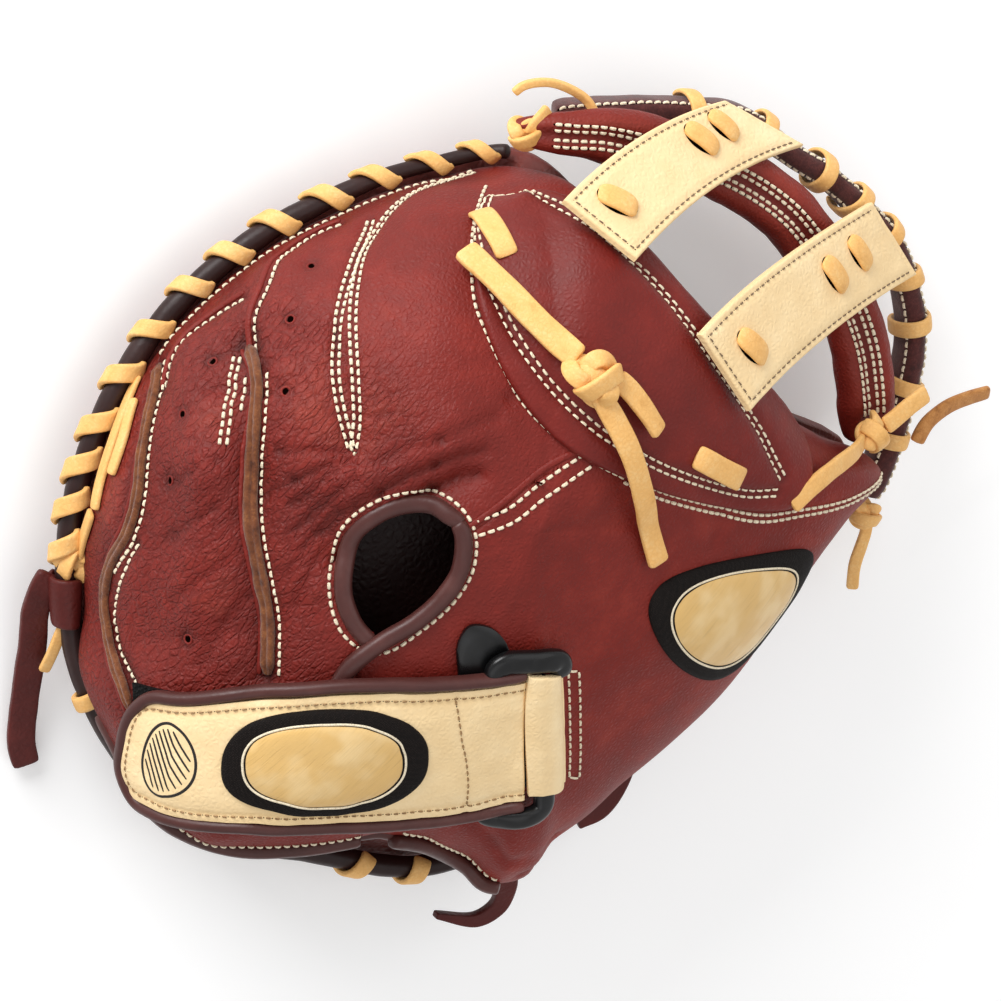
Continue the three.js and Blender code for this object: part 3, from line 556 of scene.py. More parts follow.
class Wire:
    """A node's output that takes part in Python arithmetic on values."""

    def __init__(self, shader: "Shader", socket: bpy.types.NodeSocket) -> None:
        """Keeps the socket and the tree that it belongs to."""
        self.shader = shader
        self.socket = socket

    def _maths(self, operation: str, *values: Input) -> "Wire":
        """Adds a Math node."""
        return self.shader.add("ShaderNodeMath", {"operation": operation}, dict(enumerate(values)))

    def __add__(self, other: Input) -> "Wire":
        """self + other."""
        return self._maths("ADD", self, other)

    def __radd__(self, other: Input) -> "Wire":
        """other + self."""
        return self._maths("ADD", other, self)

    def __sub__(self, other: Input) -> "Wire":
        """self - other."""
        return self._maths("SUBTRACT", self, other)

    def __rsub__(self, other: Input) -> "Wire":
        """other - self."""
        return self._maths("SUBTRACT", other, self)

    def __mul__(self, other: Input) -> "Wire":
        """self * other."""
        return self._maths("MULTIPLY", self, other)

    def __rmul__(self, other: Input) -> "Wire":
        """other * self."""
        return self._maths("MULTIPLY", other, self)

    def clamp(self) -> "Wire":
        """Keeps the value from 0 to 1."""
        return self.shader.add("ShaderNodeClamp", {}, {"Value": self})

    def ramp(self, low: float, high: float) -> "Wire":
        """A smooth step from 0 at low to 1 at high."""
        return self.shader.add(
            "ShaderNodeMapRange",
            {"interpolation_type": "SMOOTHSTEP"},
            {"Value": self, "From Min": low, "From Max": high},
        )


class Shader:
    """A material's node tree."""

    def __init__(self, name: str) -> None:
        """Starts a material with one main shader."""
        self.material = bpy.data.materials.new(name)
        self.material.use_nodes = True
        self.tree = self.material.node_tree
        self.main = next(n for n in self.tree.nodes if n.type == "BSDF_PRINCIPLED")

    def add(self, kind: str, settings: dict[str, object], inputs: dict[Union[str, int], Input],
            output: Union[str, int] = 0) -> Wire:
        """Adds a node.

        Args:
            kind: The node's type.
            settings: Its own settings, set first.
            inputs: A value or a wire for each input, by name or number.
            output: The output that is wanted.

        Returns:
            That output.
        """
        node = self.tree.nodes.new(kind)
        for key, value in settings.items():
            setattr(node, key, value)
        for key, value in inputs.items():
            self.plug(node.inputs[key], value)
        return Wire(self, node.outputs[output])

    def plug(self, socket: bpy.types.NodeSocket, value: Input) -> None:
        """Sets an input, or links it."""
        if isinstance(value, Wire):
            self.tree.links.new(value.socket, socket)
        else:
            socket.default_value = value

    def set(self, **values: Input) -> None:
        """Sets inputs of the main shader. An underscore stands for a space."""
        for key, value in values.items():
            self.plug(self.main.inputs[key.replace("_", " ")], value)

    def mix(self, a: Input, b: Input, factor: Input) -> Wire:
        """A colour between a and b."""
        return self.add(
            "ShaderNodeMix", {"data_type": "RGBA"}, {"Factor": factor, 6: a, 7: b}, output=2)

    def place(self, *size: float, turn: float = 0.0) -> Wire:
        """The place on the piece in units of one size or three, turned by degrees about Z."""
        coordinates = self.add("ShaderNodeTexCoord", {}, {}, output="Object")
        scale = tuple(1000.0 / s for s in (size if len(size) == 3 else size * 3))
        return self.add("ShaderNodeMapping", {}, {
            "Vector": coordinates, "Scale": scale, "Rotation": (0, 0, math.radians(turn))})

    def noise(self, place: Wire, detail: float = 3.0, rough: float = 0.5, bend: float = 0.0) -> Wire:
        """Cloudy noise from about 0 to 1."""
        return self.add(
            "ShaderNodeTexNoise",
            {},
            {"Vector": place, "Scale": 1.0, "Detail": detail, "Roughness": rough, "Distortion": bend},
            output="Fac",
        )

    def cells(self, place: Wire, feature: str = "F1", jitter: float = 1.0) -> Wire:
        """Distance to the nearest cell's middle, or to its border."""
        return self.add(
            "ShaderNodeTexVoronoi",
            {"feature": feature},
            {"Vector": place, "Scale": 1.0, "Randomness": jitter},
            output="Distance",
        )

    def mark(self, name: str) -> Wire:
        """A value stored on the mesh, 0 where the mesh has none."""
        return self.add("ShaderNodeAttribute", {"attribute_name": name}, {}, output="Fac")

    def warp(self, place: Wire, amount: float) -> Wire:
        """Moves a place by cloudy noise."""
        cloud = self.add(
            "ShaderNodeTexNoise", {}, {"Vector": place, "Scale": 0.7, "Detail": 2.0}, output="Color")
        shift = self.add(
            "ShaderNodeVectorMath", {"operation": "SCALE"}, {0: cloud, "Scale": amount}, output="Vector")
        return self.add("ShaderNodeVectorMath", {"operation": "ADD"}, {0: place, 1: shift},
            output="Vector")

    def bump(self, height: Wire, depth: float, strength: float = 1.0,
            under: Optional[Wire] = None) -> Wire:
        """A relief depth millimetres deep, over another relief if one is given."""
        inputs: dict[Union[str, int], Input] = {
            "Height": height, "Distance": depth / 1000.0, "Strength": strength}
        if under is not None:
            inputs["Normal"] = under
        return self.add("ShaderNodeBump", {}, inputs, output="Normal")


Colour = tuple[float, float, float, float]


def colour(code: int) -> Colour:
    """A linear colour from a web colour."""
    parts = [((code >> shift) & 255) / 255 for shift in (16, 8, 0)]
    linear = [p / 12.92 if p <= 0.04045 else ((p + 0.055) / 1.055) ** 2.4 for p in parts]
    return (*linear, 1.0)


@dataclass(frozen=True)
class Tones:
    """A finish's name and its deep, middle and pale web colours."""

    name: str
    deep: int
    body: int
    pale: int


@dataclass(frozen=True)
class Leather(Tones):
    """Grained leather with pulled-up tone, fine pores, pebbles and creases, painted shade in their
    hollows and on marked places, and wear with painted highlight on marked raised places.
    """

    roughness: float = 0.46
    pebble: float = 2.6
    pebble_depth: float = 0.22
    crease_depth: float = 0.3
    pore_depth: float = 0.05
    coat: float = 0.0
    # How strongly painted shade darkens the hollows and the marked places.
    shade_strength: float = 0.35

    def build(self) -> bpy.types.Material:
        """Makes the material."""
        s = Shader(self.name)
        cloud = s.noise(s.place(46), 3, 0.5, 0.4)
        mottle = s.noise(s.place(9), 4, 0.6)
        near = s.place(self.pebble)
        pebbles = s.cells(s.warp(near, 0.8), "DISTANCE_TO_EDGE").ramp(0.0, 0.42)
        long = s.place(self.pebble * 3.4, self.pebble * 1.15, self.pebble * 2.0, turn=-24)
        creases = s.cells(s.warp(long, 1.2), "DISTANCE_TO_EDGE").ramp(0.0, 0.2)
        pores = s.noise(s.place(0.6), 2, 0.6)
        # Wear with painted highlight marked on the mesh: lighter on raised places.
        wear_and_highlight_mask = s.mark("wear_and_highlight")
        # Painted shade marked on the mesh: darker in grooves, seams and recesses.
        dark = s.mark("painted_shade")
        grain = s.mark("grain")
        tone = (cloud.ramp(0.28, 0.74) * 0.55 + mottle.ramp(0.3, 0.75) * 0.45).clamp()
        base = s.mix(colour(self.deep), colour(self.body), tone * 0.45 + 0.55)
        base = s.mix(base, colour(self.pale),
            ((cloud * mottle).ramp(0.24, 0.52) * 0.22 + wear_and_highlight_mask * 0.7).clamp())
        # Painted shade: the crease hollows, the pebble borders and the marked places are mixed toward the
        # deep colour.
        shade_mask = (1 - creases) * (0.12 + grain * 0.5) + (1 - pebbles) * (0.12 + grain * 0.3)
        base = s.mix(base, colour(self.deep), (shade_mask * self.shade_strength + dark * self.shade_strength * 1.9).clamp())
        rough = self.roughness + (mottle - 0.5) * 0.16 + (1 - pebbles) * 0.08 - wear_and_highlight_mask * 0.06
        fine = s.bump(pores, self.pore_depth, 0.8)
        grained = s.bump(pebbles * (grain * 0.6 + 0.7), self.pebble_depth, 1.0, fine)
        creased = s.bump(creases * (grain + 0.12), self.crease_depth, 1.0, grained)
        s.set(Base_Color=base, Roughness=rough, Normal=creased, Specular_IOR_Level=0.26,
            Coat_Weight=self.coat,
              Coat_Roughness=0.35)
        return s.material


@dataclass(frozen=True)
class Suede(Tones):
    """Brushed or raw-cut leather with a short nap."""

    fibre: float = 0.5
    depth: float = 0.3

    def build(self) -> bpy.types.Material:
        """Makes the material."""
        s = Shader(self.name)
        nap = s.noise(s.place(self.fibre), 5, 0.7)
        cloud = s.noise(s.place(3.2), 4, 0.65)
        base = s.mix(colour(self.deep), colour(self.body), cloud.ramp(0.18, 0.5))
        base = s.mix(base, colour(self.pale), (nap * cloud).ramp(0.2, 0.42) * 0.6)
        # Painted shade: marked places are mixed toward the deep colour.
        base = s.mix(base, colour(self.deep), (s.mark("painted_shade") * 0.8).clamp())
        relief = s.bump(nap + cloud * 0.8, self.depth, 0.9)
        s.set(Base_Color=base, Roughness=0.86 + (nap - 0.5) * 0.15, Normal=relief,
            Specular_IOR_Level=0.25,
              Sheen_Weight=0.25, Sheen_Roughness=0.5)
        return s.material


@dataclass(frozen=True)
class Rawhide(Tones):
    """Tan lace with long grain, paler flecks, fine cracks and darker handled patches."""

    def build(self) -> bpy.types.Material:
        """Makes the material."""
        s = Shader(self.name)
        cloud = s.noise(s.place(7), 4, 0.6)
        grain = s.noise(s.place(1.1), 4, 0.65, 0.4)
        cracks = s.cells(s.warp(s.place(1.6), 1.0), "DISTANCE_TO_EDGE").ramp(0.0, 0.25)
        base = s.mix(colour(self.deep), colour(self.body), cloud.ramp(0.15, 0.45))
        base = s.mix(base, colour(self.pale),
            ((grain * cloud).ramp(0.2, 0.42) * 0.35 + s.mark("wear_and_highlight") * 0.5).clamp())
        base = s.mix(base, colour(self.deep), ((1 - cracks) * 0.18).clamp())
        relief = s.bump(grain + cracks * 0.4, 0.14, 0.7)
        s.set(Base_Color=base, Roughness=0.55 + (grain - 0.5) * 0.25, Normal=relief,
            Specular_IOR_Level=0.35)
        return s.material


@dataclass(frozen=True)
class Thread:
    """Waxed twisted thread."""

    name: str
    body: int
    shade: int

    def build(self) -> bpy.types.Material:
        """Makes the material."""
        s = Shader(self.name)
        twist = s.noise(s.place(0.35), 2, 0.5)
        base = s.mix(colour(self.shade), colour(self.body), twist.ramp(0.25, 0.6))
        s.set(Base_Color=base, Roughness=0.6 + (twist - 0.5) * 0.1, Normal=s.bump(twist, 0.1, 0.6))
        return s.material


@dataclass(frozen=True)
class Moulded:
    """Moulded plastic with a faint spark texture and rubbed patches."""

    name: str
    body: int
    rubbed: int
    roughness: float = 0.4
    shine: float = 0.5

    def build(self) -> bpy.types.Material:
        """Makes the material."""
        s = Shader(self.name)
        spark = s.noise(s.place(0.45), 3, 0.6)
        cloud = s.noise(s.place(9), 3, 0.6)
        base = s.mix(colour(self.body), colour(self.rubbed),
            cloud.ramp(0.5, 0.8) * 0.4 + s.mark("wear_and_highlight") * 0.5)
        s.set(Base_Color=base, Roughness=self.roughness + (cloud - 0.5) * 0.2,
            Normal=s.bump(spark, 0.04, 0.5),
              Specular_IOR_Level=self.shine)
        return s.material


@dataclass(frozen=True)
class Pile:
    """A field of small hooks or satin stitches."""

    name: str
    deep: int
    body: int
    pitch: float = 1.1
    depth: float = 0.5

    def build(self) -> bpy.types.Material:
        """Makes the material."""
        s = Shader(self.name)
        dots = s.cells(s.place(self.pitch), "F1", 0.45)
        cloud = s.noise(s.place(4), 3, 0.6)
        peak = 1 - dots.ramp(0.05, 0.6)
        base = s.mix(colour(self.deep), colour(self.body), (peak * 0.8 + cloud * 0.3).clamp())
        s.set(Base_Color=base, Roughness=0.7 + (cloud - 0.5) * 0.2, Normal=s.bump(peak, self.depth, 0.8),
              Specular_IOR_Level=0.12)
        return s.material


@dataclass(frozen=True)
class Satin(Tones):
    """Close satin stitch, its threads lying side by side."""

    def build(self) -> bpy.types.Material:
        """Makes the material."""
        s = Shader(self.name)
        threads = s.noise(s.place(9.0, 0.3, 9.0, turn=38), 2, 0.5)
        cloud = s.noise(s.place(12), 2, 0.5)
        base = s.mix(colour(self.deep), colour(self.body), threads.ramp(0.2, 0.5) * 0.5 + 0.5)
        base = s.mix(base, colour(self.pale), cloud.ramp(0.4, 0.7) * 0.5)
        s.set(Base_Color=base, Roughness=0.42 + (threads - 0.5) * 0.2, Normal=s.bump(threads, 0.14, 0.7),
              Sheen_Weight=0.2)
        return s.material


@dataclass(frozen=True)
class Floor:
    """The pale studio floor."""

    name: str = "studio_floor"

    def build(self) -> bpy.types.Material:
        """Makes the material."""
        s = Shader(self.name)
        cloud = s.noise(s.place(90), 2, 0.5)
        base = s.mix((0.93, 0.93, 0.93, 1), (0.96, 0.96, 0.96, 1), cloud)
        s.set(Base_Color=base, Roughness=0.7, Specular_IOR_Level=0.2, Emission_Color=(1, 1, 1, 1),
            Emission_Strength=0.14)
        return s.material


class Finish(Enum):
    """Every finish of the mitt."""

    BACK = Leather("back_leather", 0x43100B, 0x82231A, 0xA04433, 0.48, 1.7, 0.17, 0.22, 0.06)
    PAD = Leather("pad_leather_fine", 0x47110D, 0x7A2019, 0x93382C, 0.44, 1.8, 0.12, 0.14)
    # Its near-black deep colour is also the painted shade inside the finger hole.
    PALM = Leather("palm_leather_fine", 0x1C0705, 0x6A241D, 0x8C4438, 0.5, 2.6, 0.25, 0.3, 0.05, 0.0,
        0.55)
    CREAM = Leather("cream_leather_fine", 0xDCB67C, 0xF8DDAE, 0xFDEECB, 0.52, 2.0, 0.14, 0.04, 0.05, 0.0,
        0.3)
    BINDING = Leather("binding_leather", 0x2E1614, 0x522C28, 0x78504A, 0.36, 3.4, 0.05, 0.06, 0.03, 0.15,
        0.25)
    RIM = Leather("rim_leather", 0x170A09, 0x2E1816, 0x4A302C, 0.4, 3.4, 0.05, 0.06, 0.03, 0.1, 0.25)
    SUEDE = Suede("raw_edge", 0x341609, 0x6C3A1E, 0x9A6236, 0.7, 0.5)
    RAW_LACE = Suede("raw_lace_side", 0x7A4A24, 0xB87C42, 0xD8A062, 0.5, 0.25)
    BAND = Suede("band_suede", 0x2E1514, 0x4A2220, 0x65332F, 0.8, 0.15)
    LACE = Rawhide("lace_leather", 0xCB9149, 0xECB66C, 0xF7D79C)
    DARK_LACE = Leather("dark_lace_leather", 0x2E0D0A, 0x581C18, 0x76362F, 0.42, 2.4, 0.1, 0.15)
    WHITE_THREAD = Thread("pale_thread", 0xF0E3C8, 0xB8A585)
    DARK_THREAD = Thread("dark_thread", 0x7A6248, 0x46362A)
    CREAM_THREAD = Thread("cream_thread", 0xA07C50, 0x5E4228)
    INK = Moulded("stamped_ink", 0x17110E, 0x2A211C, 0.7)
    PLASTIC = Moulded("black_plastic_fine", 0x0C0C0D, 0x26272A, 0.3, 0.4)
    HOOK = Pile("hook_field", 0x050505, 0x1C1C1C)
    PATCH_EDGE = Pile("patch_border", 0x0D0A09, 0x241D1A, 0.6, 0.25)
    PATCH = Satin("patch_satin", 0xA9803F, 0xD9B06A, 0xEED3A0)
    # Near black: painted shade inside punched holes, needle holes and lace slots.
    EYELET = Moulded("painted_hole_shade", 0x080302, 0x0E0605, 0.95, 0.0)
    FLOOR = Floor()

    def material(self) -> bpy.types.Material:
        """The finish's material, made once."""
        found = bpy.data.materials.get(self.value.name)
        return found or self.value.build()


@dataclass(frozen=True)
class Dress:
    """How a mesh becomes a piece of the scene."""

    name: str
    finish: Finish
    slot: Slot
    replaces: tuple[str, ...] = ()
    levels: int = 0
    sharp: float = 38.0
    wall: float = 0.0

    def make(self, mesh: Mesh, marks: Optional[dict[str, Points]] = None) -> bpy.types.Object:
        """Makes the piece.

        Args:
            mesh: Its points in millimetres and its faces.
            marks: Values to store on its points, by name.

        Returns:
            The object, riding on the mitt.
        """
        data = bpy.data.meshes.new(self.name)
        data.from_pydata(metres(mesh.points).tolist(), [], mesh.faces)
        data.validate()
        if not self.wall:
            closed = bmesh.new()
            closed.from_mesh(data)
            bmesh.ops.recalc_face_normals(closed, faces=closed.faces)
            closed.to_mesh(data)
            closed.free()
        for name, values in (marks or {}).items():
            layer = data.attributes.new(name, "FLOAT", "POINT")
            layer.data.foreach_set("value", np.asarray(values, np.float32))
        data.materials.append(self.finish.material())
        data.shade_smooth()
        data.set_sharp_from_angle(angle=math.radians(self.sharp))
        piece = bpy.data.objects.new(self.name, data)
        bpy.context.scene.collection.objects.link(piece)
        if self.wall:
            skin = piece.modifiers.new("wall", "SOLIDIFY")
            skin.thickness = self.wall / 1000.0
            skin.offset = -1.0
        if self.levels:
            fine = piece.modifiers.new("fine", "SUBSURF")
            fine.levels = fine.render_levels = self.levels
        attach(piece, "root")
        if self.replaces:
            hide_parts(*self.replaces)
        LOG.info("%s: %d points, %d faces", self.name, len(mesh.points), len(mesh.faces))
        return piece


def smooth_step(value: Points, low: float, high: float) -> Points:
    """A smooth step from 0 at low to 1 at high."""
    t = np.clip((value - low) / (high - low), 0, 1)
    return t * t * (3 - 2 * t)


def arc_mask(bearing: Points, low: float, high: float, soft: float) -> Points:
    """1 between two bearings, fading out over soft degrees at both sides."""
    return smooth_step(bearing, low - soft, low) * (1 - smooth_step(bearing, high, high + soft))


def on_back(rows: Rows, lift: float = 0.0) -> Points:
    """A smooth line over the back through rows of bearing and share."""
    a = np.array(rows, float)
    return Curve(BACK.at(a[:, 0], a[:, 1], lift)).dense()


def over_plan(rows: Rows, lift: float = 0.0) -> Points:
    """A smooth line over the back through plan rows of x, y and maybe a lift of its own."""
    lifts = np.array([r[2] if len(r) > 2 else lift for r in rows], float)
    return Curve(BACK.over(np.array([r[:2] for r in rows], float), lifts)).dense()


def lace_piece(name: str, mesh: Mesh, nodes: Sequence[str] = (), finish: Finish = Finish.LACE,
               slot: Slot = Slot.LACE) -> bpy.types.Object:
    """Makes a piece of lace from its mesh."""
    return Dress(name, finish, slot, tuple(nodes), levels=1, sharp=60).make(mesh)


@dataclass
class Sewing:
    """Stitches of one thread, gathered row by row, with painted shade in their needle holes."""

    name: str
    thread: Finish
    slot: Slot
    long: float = 2.35
    gap: float = 0.55
    width: float = 1.15
    mesh: Mesh = field(default_factory=Mesh)
    holes: Mesh = field(default_factory=Mesh)

    def row(self, line: Points, skin: Skin, toward: Optional[Points] = None, offset: float = 0.0) -> None:
        """Sews one row.

        Args:
            line: The points that the row follows, near the surface.
            skin: The surface that it is sewn to.
            toward: Outward direction at each point of the line, or none for the back's own.
            offset: Shift to the row's side, in millimetres.
        """
        whole = line if toward is None else np.hstack([line, toward])
        whole = evenly(whole, 0.9)
        line = whole[:, :3]
        way = unit(BACK.away(line) if toward is None else whole[:, 3:])
        if offset:
            line = line + offset * unit(np.cross(np.gradient(line, axis=0), way))
        laid, ups = skin.lay(line, way)
        run = np.append(0, np.cumsum(np.linalg.norm(np.diff(laid, axis=0), axis=1)))
        count = int(run[-1] // (self.long + self.gap))
        if count < 1:
            return
        step = run[-1] / count
        starts = np.arange(count) * step + self.gap / 2

        def read(at: Points, values: Points) -> Points:
            """Reads values along the row."""
            return np.stack([np.interp(at, run, values[:, k]) for k in range(3)], 1)

        a, b = read(starts, laid), read(starts + step - self.gap, laid)
        up = unit(read(starts + step / 2, ups))
        along = unit(b - a)
        side = np.cross(along, up)
        middle = read(starts + step / 2, laid)
        share = np.array([0, 0.16, 0.5, 0.84, 1.0])
        rise = np.array([-0.3, 0.2, 0.38, 0.2, -0.3])
        size = np.array([0.5, 0.92, 1.0, 0.92, 0.5]) * self.width / 2
        bow = np.array([0, 0.45, 1, 0.45, 0])
        sag = middle - (a + b) / 2
        centre = (
            a[:, None] + (b - a)[:, None] * share[None, :, None] + up[:, None] * rise[None, :, None]
            + sag[:, None] * bow[None, :, None]
        )
        turn = circle(6)
        ring = (
            side[:, None, None] * np.cos(turn)[None, None, :, None]
            + 0.72 * up[:, None, None] * np.sin(turn)[None, None, :, None]
        )
        points = centre[:, :, None] + ring * size[None, :, None, None]
        one = grid_faces(5, 6, wrap=True) + [list(range(6))[::-1], [24 + k for k in range(6)]]
        faces = [[30 * n + i for i in f] for n in range(count) for f in one]
        self.mesh.add(points.reshape(-1, 3), faces)
        # Each needle hole is a small near-black cone of painted shade.
        dots = read(np.arange(count + 1) * step, laid)
        dot_ups = unit(read(np.arange(count + 1) * step, ups))
        dot_side = unit(np.cross(dot_ups, np.vstack([along, along[-1:]])))
        dot_along = np.cross(dot_side, dot_ups)
        rim = (
            dots[:, None] + 0.46 * dot_side[:, None] * np.cos(turn)[None, :, None]
            + 0.58 * dot_along[:, None] * np.sin(turn)[None, :, None] - 0.1 * dot_ups[:, None]
        )
        tip = (dots + 0.07 * dot_ups)[:, None]
        base = [[6, k, (k + 1) % 6] for k in range(6)] + [[5, 4, 3, 2, 1, 0]]
        self.holes.add(
            np.concatenate([rim, tip], 1).reshape(-1, 3),
            [[7 * n + i for i in f] for n in range(count + 1) for f in base])

    def double(self, line: Points, skin: Skin, toward: Optional[Points] = None,
            apart: float = 2.1) -> None:
        """Sews two rows side by side."""
        self.row(line, skin, toward, apart / 2)
        self.row(line, skin, toward, -apart / 2)

    def make(self) -> None:
        """Makes the thread and the painted shade in its needle holes."""
        Dress(self.name, self.thread, self.slot).make(self.mesh)
        Dress(self.name + "_holes", Finish.EYELET, self.slot).make(self.holes)


@dataclass
class BackPanels:
    """The finger side and the thumb side of the back, sewn over the hand."""

    bearings: int = 480
    rings: int = 108
    v_left: Rows = (
        (64.4, 0.893), (74, 0.754), (82.8, 0.647), (90, 0.565), (94.8, 0.512), (101, 0.446),
        (108, 0.383))
    v_right: Rows = (
        (39, 0.985), (46.8, 0.959), (58.8, 0.889), (68.4, 0.807), (76.8, 0.684), (82.4, 0.602),
        (91, 0.492), (100.8, 0.41), (108, 0.378))
    ring_row: Rows = (
        (100, 0.717), (96.4, 0.766), (89.6, 0.828), (81.6, 0.912), (74.5, 0.94), (69.5, 0.93))
    little_up: Rows = ((114.8, 0.873), (109.6, 0.897), (104, 0.906), (97.6, 0.885), (94, 0.856))
    little_low: Rows = (
        (139.2, 0.746), (144.4, 0.779), (149.6, 0.815), (153.2, 0.82), (155.5, 0.795), (158.4, 0.729),
        (160.4, 0.705))
    ring_seam: Rows = (
        (100, 0.75), (103.5, 0.66), (111.5, 0.59), (122.5, 0.54), (133.5, 0.485), (143.5, 0.44),
        (154, 0.412), (163.5, 0.405))
    little_seam: Rows = (
        (112, 0.95), (117, 0.893), (125, 0.832), (132.5, 0.787), (138, 0.787), (144, 0.838),
        (151, 0.862), (155.5, 0.832), (159.5, 0.768), (162.5, 0.76))
    eyelets: Rows = (
        (80.4, 0.82), (91.2, 0.709), (103.6, 0.569), (106.4, 0.779), (116.8, 0.746), (128, 0.709),
        (154, 0.578))
    creases: Rows = (
        (86, 0.165, 110, 0.205, 2.2, -1.1), (110, 0.205, 128, 0.245, 2.2, -1.4),
        (128, 0.245, 143, 0.305, 2.4, -1.1), (74, 0.2, 98, 0.235, 1.8, -0.8),
        (98, 0.235, 118, 0.285, 1.9, -1.0), (118, 0.285, 134, 0.345, 1.8, -0.8),
        (60, 0.25, 88, 0.27, 2.4, -0.7), (88, 0.27, 108, 0.32, 2.0, -0.7),
        (111, 0.375, 121, 0.44, 1.4, -0.8), (110, 0.39, 116, 0.5, 1.5, -0.8),
        (112, 0.365, 127, 0.42, 1.5, -0.8), (121, 0.44, 127, 0.49, 1.5, -0.5),
        (116, 0.34, 134, 0.395, 1.6, -0.8), (126, 0.335, 146, 0.39, 1.6, -0.7),
        (134, 0.32, 152, 0.36, 1.6, -0.7), (106, 0.6, 111, 0.74, 2.2, -0.8),
        (122, 0.6, 128, 0.68, 1.8, -0.7), (130, 0.56, 138, 0.66, 1.8, -0.7),
        (140, 0.5, 148, 0.62, 2.0, -0.8), (148, 0.46, 158, 0.54, 2.0, -0.7),
        (86, 0.62, 92, 0.5, 2.0, -0.7), (30, 0.28, 52, 0.27, 2.6, -0.6), (20, 0.34, 44, 0.31, 2.4, -0.5),
        (230, 0.72, 250, 0.82, 3.0, -1.0), (216, 0.6, 236, 0.66, 3.0, -0.8),
        (300, 0.3, 330, 0.4, 3.0, -0.6))

    def wrinkles(self, points: Points, bearing: Points, share: Points) -> Points:
        """Height of the worn-in creases and pebbles at points of the back."""
        total = np.zeros(len(points))
        for b0, s0, b1, s1, width, height in self.creases:
            ends = BACK.at(np.array([b0, (b0 + b1) / 2, b1]), np.array([s0, (s0 + s1) / 2, s1]))
            total += height * np.exp(-((distance_to_line(points, ends) / width) ** 2))
        along = np.array([0.92, -0.34, -0.2])
        across = np.array([0.34, 0.92, -0.25])
        lean = np.stack([points @ along / 3.8, points @ across, points[:, 2] * 0.7], 1)
        bent = lean + 1.6 * np.stack([lattice_noise(points, 9, k) for k in (1, 2, 3)], 1)
        fold = 1 - 2 * np.abs(lattice_noise(bent, 2.6, 4))
        fine = 1 - 2 * np.abs(lattice_noise(bent * np.array([1.5, 1.0, 1.0]), 1.5, 5))
        patch = smooth_step(lattice_noise(points, 24, 6), -0.5, 0.5)
        fingers = arc_mask(bearing, 92, 168, 14) * smooth_step(share, 0.26, 0.4)
        fingers = fingers * (1 - 0.5 * smooth_step(share, 0.9, 1))
        near_v = np.exp(-((np.linalg.norm(points - BACK.at(118, 0.42), axis=1) / 34) ** 2))
        weight = 0.10 + 0.8 * fingers * (0.35 + 0.65 * patch) + 0.8 * near_v
        broad = lattice_noise(points, 21, 7) * 1.0 * (0.3 + fingers)
        return 1.6 * total - weight * (0.34 * fold + 0.13 * fine - 0.2) + broad

    def sewn_lines(self) -> list[Points]:
        """Lines where the stitching pulls the leather down."""
        return [on_back(r) for r in (self.v_left, self.v_right, self.ring_row, self.little_up,
            self.little_low)]

    def surface(self) -> tuple[Mesh, dict[str, Points]]:
        """The whole outer face before it is cut, with wear and painted highlight on its raised places and
        painted shade in its sunken places.
        """
        share = np.linspace(0, 1, self.rings + 1)[1:] ** 0.94
        bearing = 360 * np.arange(self.bearings) / self.bearings
        b, s = np.meshgrid(bearing, share)
        flat_b, flat_s = b.ravel(), s.ravel()
        base = BACK.at(flat_b, flat_s)
        lift = self.wrinkles(base, flat_b, flat_s)
        # Painted shade: darker along the sewn lines, the raised seams and the lace holes, and wherever
        # the relief dips.
        shade_mask = np.zeros(len(base))
        for line in self.sewn_lines():
            near = np.exp(-((distance_to_line(base, line) / 1.7) ** 2))
            lift -= 1.0 * near
            shade_mask += 0.4 * near
        for line in (on_back(self.ring_seam), on_back(self.little_seam)):
            near = distance_to_line(base, line)
            shade_mask += 0.8 * np.exp(-((near / 4.0) ** 2))
            lift -= 1.5 * np.exp(-((near / 5.5) ** 2))
        for bb, ss in self.eyelets:
            near = np.linalg.norm(base - BACK.at(bb, ss), axis=1)
            lift -= 1.3 * np.exp(-((near / 3.4) ** 2))
            shade_mask += 0.8 * np.exp(-((near / 2.6) ** 2))
        lift = lift * (1 - smooth_step(flat_s, 0.97, 1.0))
        points = base + BACK.normal(flat_b, flat_s) * lift[:, None]
        top = BACK.at(0, 0)[None]
        n = self.bearings
        faces = grid_faces(self.rings, n, 1, flip=True, wrap=True)
        faces += [[0, 1 + k, 1 + (k + 1) % n] for k in range(n)]
        mesh = Mesh(np.vstack([top, points]), faces)
        # Wear with painted highlight: lighter where the relief rises.
        wear_and_highlight_mask = smooth_step(lift - 0.1, 0.0, 1.2) * 0.5
        # Painted shade toward the rim, and in a band just inside it between bearings 42 and 76.
        rim = 0.35 * smooth_step(flat_s, 0.94, 1.0)
        rim = rim + 0.5 * arc_mask(flat_b, 42, 76, 7) * smooth_step(flat_s, 0.88, 0.93)
        # Painted shade where the relief dips.
        shade_mask = np.clip(shade_mask + smooth_step(-lift, 0.5, 2.2) * 0.7, 0, 1)
        near_v = np.exp(-((np.linalg.norm(base - BACK.at(118, 0.42), axis=1) / 40) ** 2))
        far_fingers = 0.9 * arc_mask(flat_b, 96, 170, 16) * smooth_step(flat_s, 0.22, 0.4)
        grain = np.clip(far_fingers + near_v, 0, 1)
        marks = {
            "wear_and_highlight": np.append(0, wear_and_highlight_mask * (1 - shade_mask)), "painted_shade": np.append(0, np.clip(shade_mask + rim, 0, 1)),
            "grain": np.append(0, grain)}
        return mesh, marks

